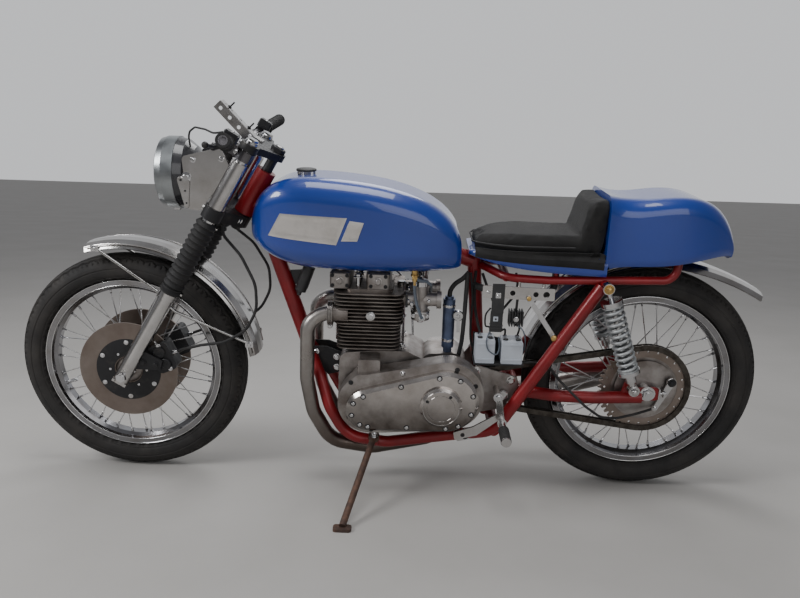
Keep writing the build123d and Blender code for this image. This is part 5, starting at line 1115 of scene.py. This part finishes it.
# Frame, stand and rear end
def make_frame_details():
    """The footrests' rubber grooves and bolts, the stand's nut, the shock absorbers' bolts, the axle's
    adjusters, the plates behind the engine, and the rear brake's lever."""
    bright, dark, brass, rubber = forms(4)
    for step in range(9):
        rubber.band((FOOTREST_X, 198 + step * 7.6, FOOTREST_Z), RIGHT,
                    ((0, 12.2), (0.8, 14.4), (4.2, 14.4), (5.0, 12.2)), 26)
    bright.lathe((FOOTREST_X, 264, FOOTREST_Z), RIGHT, ((-2, 13.6), (0.6, 13.6), (3.2, 12.2)), 26)
    bright.bolt((1043, 156, 322), RIGHT, 9, 8)
    bright.bolt((FOOTREST_X, 156, FOOTREST_Z), RIGHT, 9, 7)
    dark.disc((952, 155.6, 206), RIGHT, 6, 0.8, 0.9, 4.6, 20)
    bright.prism(((940, 166), (1002, 180), (1006, 208), (948, 200), (936, 190)), 114, 119)
    for x, z in ((962, 184), (988, 190)):
        dark.bolt((x, 119, z), RIGHT, 6.5, 5)
    for place, finish in ((SHOCK_TOP, brass), (SHOCK_FOOT, bright)):
        rubber.ring(place + RIGHT * 132.2, RIGHT, 8, 12.4, -1.0, 28)
        finish.disc(place + RIGHT * 153.8, RIGHT, 13, 1.8, 2.0, 10.5, 26)
        finish.disc(place + RIGHT * 155.6, RIGHT, 10.5, 6, 7.2, 9, 6)
        finish.lathe(place + RIGHT * 162.5, RIGHT, ((0, 7.5), (2.5, 6.5), (4, 3)), 20)
    bright.bar((1484, 110, REAR_TYRE_R), (1508, 110, REAR_TYRE_R), 4.2)
    bright.bolt((1498, 110, REAR_TYRE_R), REAR, 7.5, 6)
    bright.box((1487, 110, REAR_TYRE_R), 2.5, 9, 15)
    bright.disc(REAR_AXLE + RIGHT * 115.2, RIGHT, 21, 2.4, 3, 19, 40)
    bright.lathe((1062, 100, 306), RIGHT, ((-3, 15), (3, 15), (4.4, 13)), 6)
    mirror(bright, dark, brass, rubber)
    pin, axis = Vector((706, -128, 176)), Vector((0.05, -0.39, 0.92)).normalized()
    bright.disc(pin + axis * 9.2, axis, 13, 1.6, 1.8, 11, 24)
    bright.disc(pin + axis * 10.8, axis, 11, 6, 7, 9.5, 6)
    bright.lathe(pin + axis * 17.5, axis, ((0, 8.5), (4, 8), (7, 5.5), (8.5, 2.5)), 24)
    top, foot = polar(REAR_AXLE, 74, 22, -99.8), polar(REAR_AXLE, 60, -58, -97.8)
    dark.bolt(top, LEFT, 8, 7)
    face = [polar(top, radius, turn)
            for radius, turn in ((11, 0), (13, 40), (13.5, 90), (13, 140), (11, 180))]
    face += [polar(foot, radius, turn)
             for radius, turn in ((7, 190), (8.4, 230), (8.6, 270), (8.4, 310), (7, 350))]
    bright.prism([(spot.x, spot.z) for spot in face], -99.0, -98.1, 0.3)
    bright.lathe(foot, LEFT, ((-6, 5.5), (4, 5.5), (5, 4)), 16)
    bright.tube([foot + Vector(way) for way in ((0, 1, 0), (-14, 2, -5), (-30, -2, -12))], 2.2)
    dark.bolt(polar(REAR_AXLE, 58, 150, -84), LEFT, 6, 5)
    for place, radius in (((1112, -106, 590), 6.5), ((1186, -115, 484), 8.5)):
        brass.lathe(place, LEFT, ((0, radius), (4, radius), (5.4, radius * 0.8), (6, radius * 0.4)), 22)
    bright.made("frame_bolts", "chrome")
    dark.made("frame_dark_parts", "black_metal")
    brass.made("frame_brass", "brass")
    rubber.made("frame_rubbers", "rubber")


def make_springs():
    """The two coil springs, wound from one wire each, with flat ground ends."""
    way = (SHOCK_TOP - SHOCK_FOOT).normalized()
    across, over = sides_of(way)
    low, high = 66.0, (SHOCK_TOP - SHOCK_FOOT).length - 50.0
    coils, turns, wire, steps = Form(), 11, 4.2, 330
    for side in SIDES:
        foot = SHOCK_FOOT + RIGHT * side * SHOCK_Y
        path = []
        for step in range(steps + 1):
            turn = tau * turns * step / steps
            path.append(foot + way * (low + (high - low) * step / steps)
                        + (across * cos(turn) + over * sin(turn)) * 23.6)
        rings = []
        for index, spot in enumerate(path):
            ahead = (path[min(index + 1, steps)] - path[max(index - 1, 0)]).normalized()
            outward = (spot - foot - way * (spot - foot).dot(way)).normalized()
            rings.append(circle(spot, outward, ahead.cross(outward).normalized(), wire, 12))
        coils.rings(rings)
        for along in (low - 4, high - 1):
            coils.ring(foot + way * along, way, 18, 27.6, 4.5, 44)
    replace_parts(coils.made("spring_coils", "spring_paint"), "shock_springs")


def make_guard_details():
    """The rolled edges of both mudguards, and their bolts."""
    front, rear, bolts = forms(3)
    front.tube([polar(FRONT_AXLE, 364.6, 9 + 6 * k, 57.2) for k in range(17)], 2.3, 10, 4)
    rear.tube([polar(REAR_AXLE, 358.6, 85 + 6 * k, 63.2) for k in range(13)], 2.3, 10, 4)
    for turn in (101, 14):
        spot = polar(FRONT_AXLE, 357, turn, 58.6)
        bolts.box(spot, 11, 1.4, 9)
        bolts.bolt(spot + RIGHT * 1.2, RIGHT, 5, 4)
    mirror(front, rear, bolts)
    for turn in (60, 74):
        bolts.bolt(polar(FRONT_AXLE, 368, turn), polar(FRONT_AXLE, 1, turn) - FRONT_AXLE, 5.5, 4)
    front.made("front_guard_edges", "polished_alloy", "steering")
    rear.made("rear_guard_edges", "polished_alloy")
    bolts.made("front_guard_bolts", "chrome", "steering")


def make_electrics_details():
    """The black bracket, relay, rectifier and wiring under the seat, and the terminals on the boxes."""
    dark, bright, pale, wires, grey = forms(5)
    dark.prism(((1014, 546), (1014, 628), (1047, 628), (1047, 546)), -107, -103.2)
    dark.box((1030, -98, 520), 16, 8, 28)
    for z in (502, 511):
        dark.box((1030, -98, z), 17.5, 9.5, 1.6)
    bright.box((1030, -107.8, 596), 7, 1.2, 7)
    bright.screw((1030, -108.8, 596), LEFT, 3.4, 2)
    pale.box((1027, -106.4, 530), 6.5, 1.4, 6.5)
    dark.disc((1027, -107.4, 530), LEFT, 2.8, 1.2, 1.3, 2, 16)
    for x in range(1066, 1102, 7):
        dark.box((x, -82, 528), 1.6, 17, 21)
    dark.box((1083, -82, 528), 20, 9, 13)
    dark.bar((1083, -84, 546), (1083, -99, 592), 3.5)
    bright.bolt((1083, -99, 528), LEFT, 5, 4)
    bright.screw((1004, -103.2, 604), LEFT, 4.5, 2.4)
    for x, z in ((990, 470.3), (1018, 470.3), (1060, 466.3), (1094, 466.3)):
        bright.disc((x, -66, z), UP, 5.5, 5, 6, 4.4, 6)
        dark.disc((x, -92, z), UP, 7, 3, 4, 5.6, 20)
    for x, z in product((1004, 1077), (414, 458)):
        pale.block((x, -110.6, z), (23 if x < 1050 else 26, 0, 0), (0, 0.8, 0), (0, 0, 2.4))
    for form, radius, points in (
            (wires, 2.4, ((1018, -66, 474), (1016, -72, 494), (1002, -92, 506), (1000, -104, 540),
                          (1012, -104, 560))),
            (wires, 2.8, ((1060, -66, 470), (1058, -74, 490), (1044, -92, 492), (1040, -96, 498))),
            (wires, 2.8, ((1094, -66, 470), (1098, -70, 492), (1092, -84, 506), (1084, -92, 510))),
            (wires, 3.4, ((1040, -92, 546), (1058, -84, 566), (1076, -66, 584), (1088, -40, 610),
                          (1086, -14, 634))),
            (wires, 3.8, ((1024, -92, 546), (1020, -70, 572), (1006, -40, 600), (992, -24, 634))),
            (wires, 4.0, ((992, -56, 474), (984, -46, 500), (976, -32, 540), (972, -26, 600),
                          (974, -24, 640))),
            (grey, 1.8, ((1016, -100, 494), (1008, -108, 480), (1006, -112, 462), (1014, -112.5, 440),
                         (1034, -112, 430), (1042, -104, 446), (1040, -90, 474))),
            (grey, 1.8, ((1090, -96, 510), (1104, -100, 496), (1112, -98, 470), (1114, -84, 440),
                         (1108, -70, 412)))):
        form.tube(points, radius)
    wires.tube(((972, -12, 596), (984, -52, 602), (1008, -78, 603), (1044, -83, 599), (1090, -83, 597),
                (1140, -83, 596), (1172, -80, 603), (1184, -68, 628), (1186, -56, 656)), 9.5, 14)
    dark.made("electrics_dark_parts", "black_plastic")
    bright.made("electrics_bolts", "chrome")
    pale.made("electrics_pale_parts", "pale_plastic")
    wires.made("electrics_wires", "rubber")
    grey.made("electrics_grey_wires", "hose")


def dress_nodes():
    """Gives each CAD node its finish: its own, or its slot's."""
    slots = {part["node"]: part["material_slot"] for part in frame["record"]["subparts"]}
    for name, shown in NODES.items():
        shown_as(shown.data, NODE_FINISH.get(name, slots[name]))


make_materials()
make_camera()
make_studio()
dress_nodes()
make_tyre("front_tread", FRONT_AXLE, FRONT_TYRE_R - 0.3, 43.0, 29.0, "front_wheel")
make_tyre("rear_tread", REAR_AXLE, REAR_TYRE_R - 0.3, 52.0, 33.0, "rear_wheel")
make_rim_details(FRONT_AXLE, 29.0, 52.0, 30.0, "front_wheel")
make_rim_details(REAR_AXLE, 33.0, 62.0, 34.0, "rear_wheel")
make_disc_carriers()
make_fork_details()
make_caliper_details()
make_lamp_details()
make_bar_details()
make_strip_flange()
make_badges()
make_tank_details()
make_seat()
make_seat_piping()
make_seat_skirt()
make_engine_details()
make_exhaust_details()
make_carburettor_details()
make_breather_details()
make_frame_details()
make_springs()
make_guard_details()
make_electrics_details()
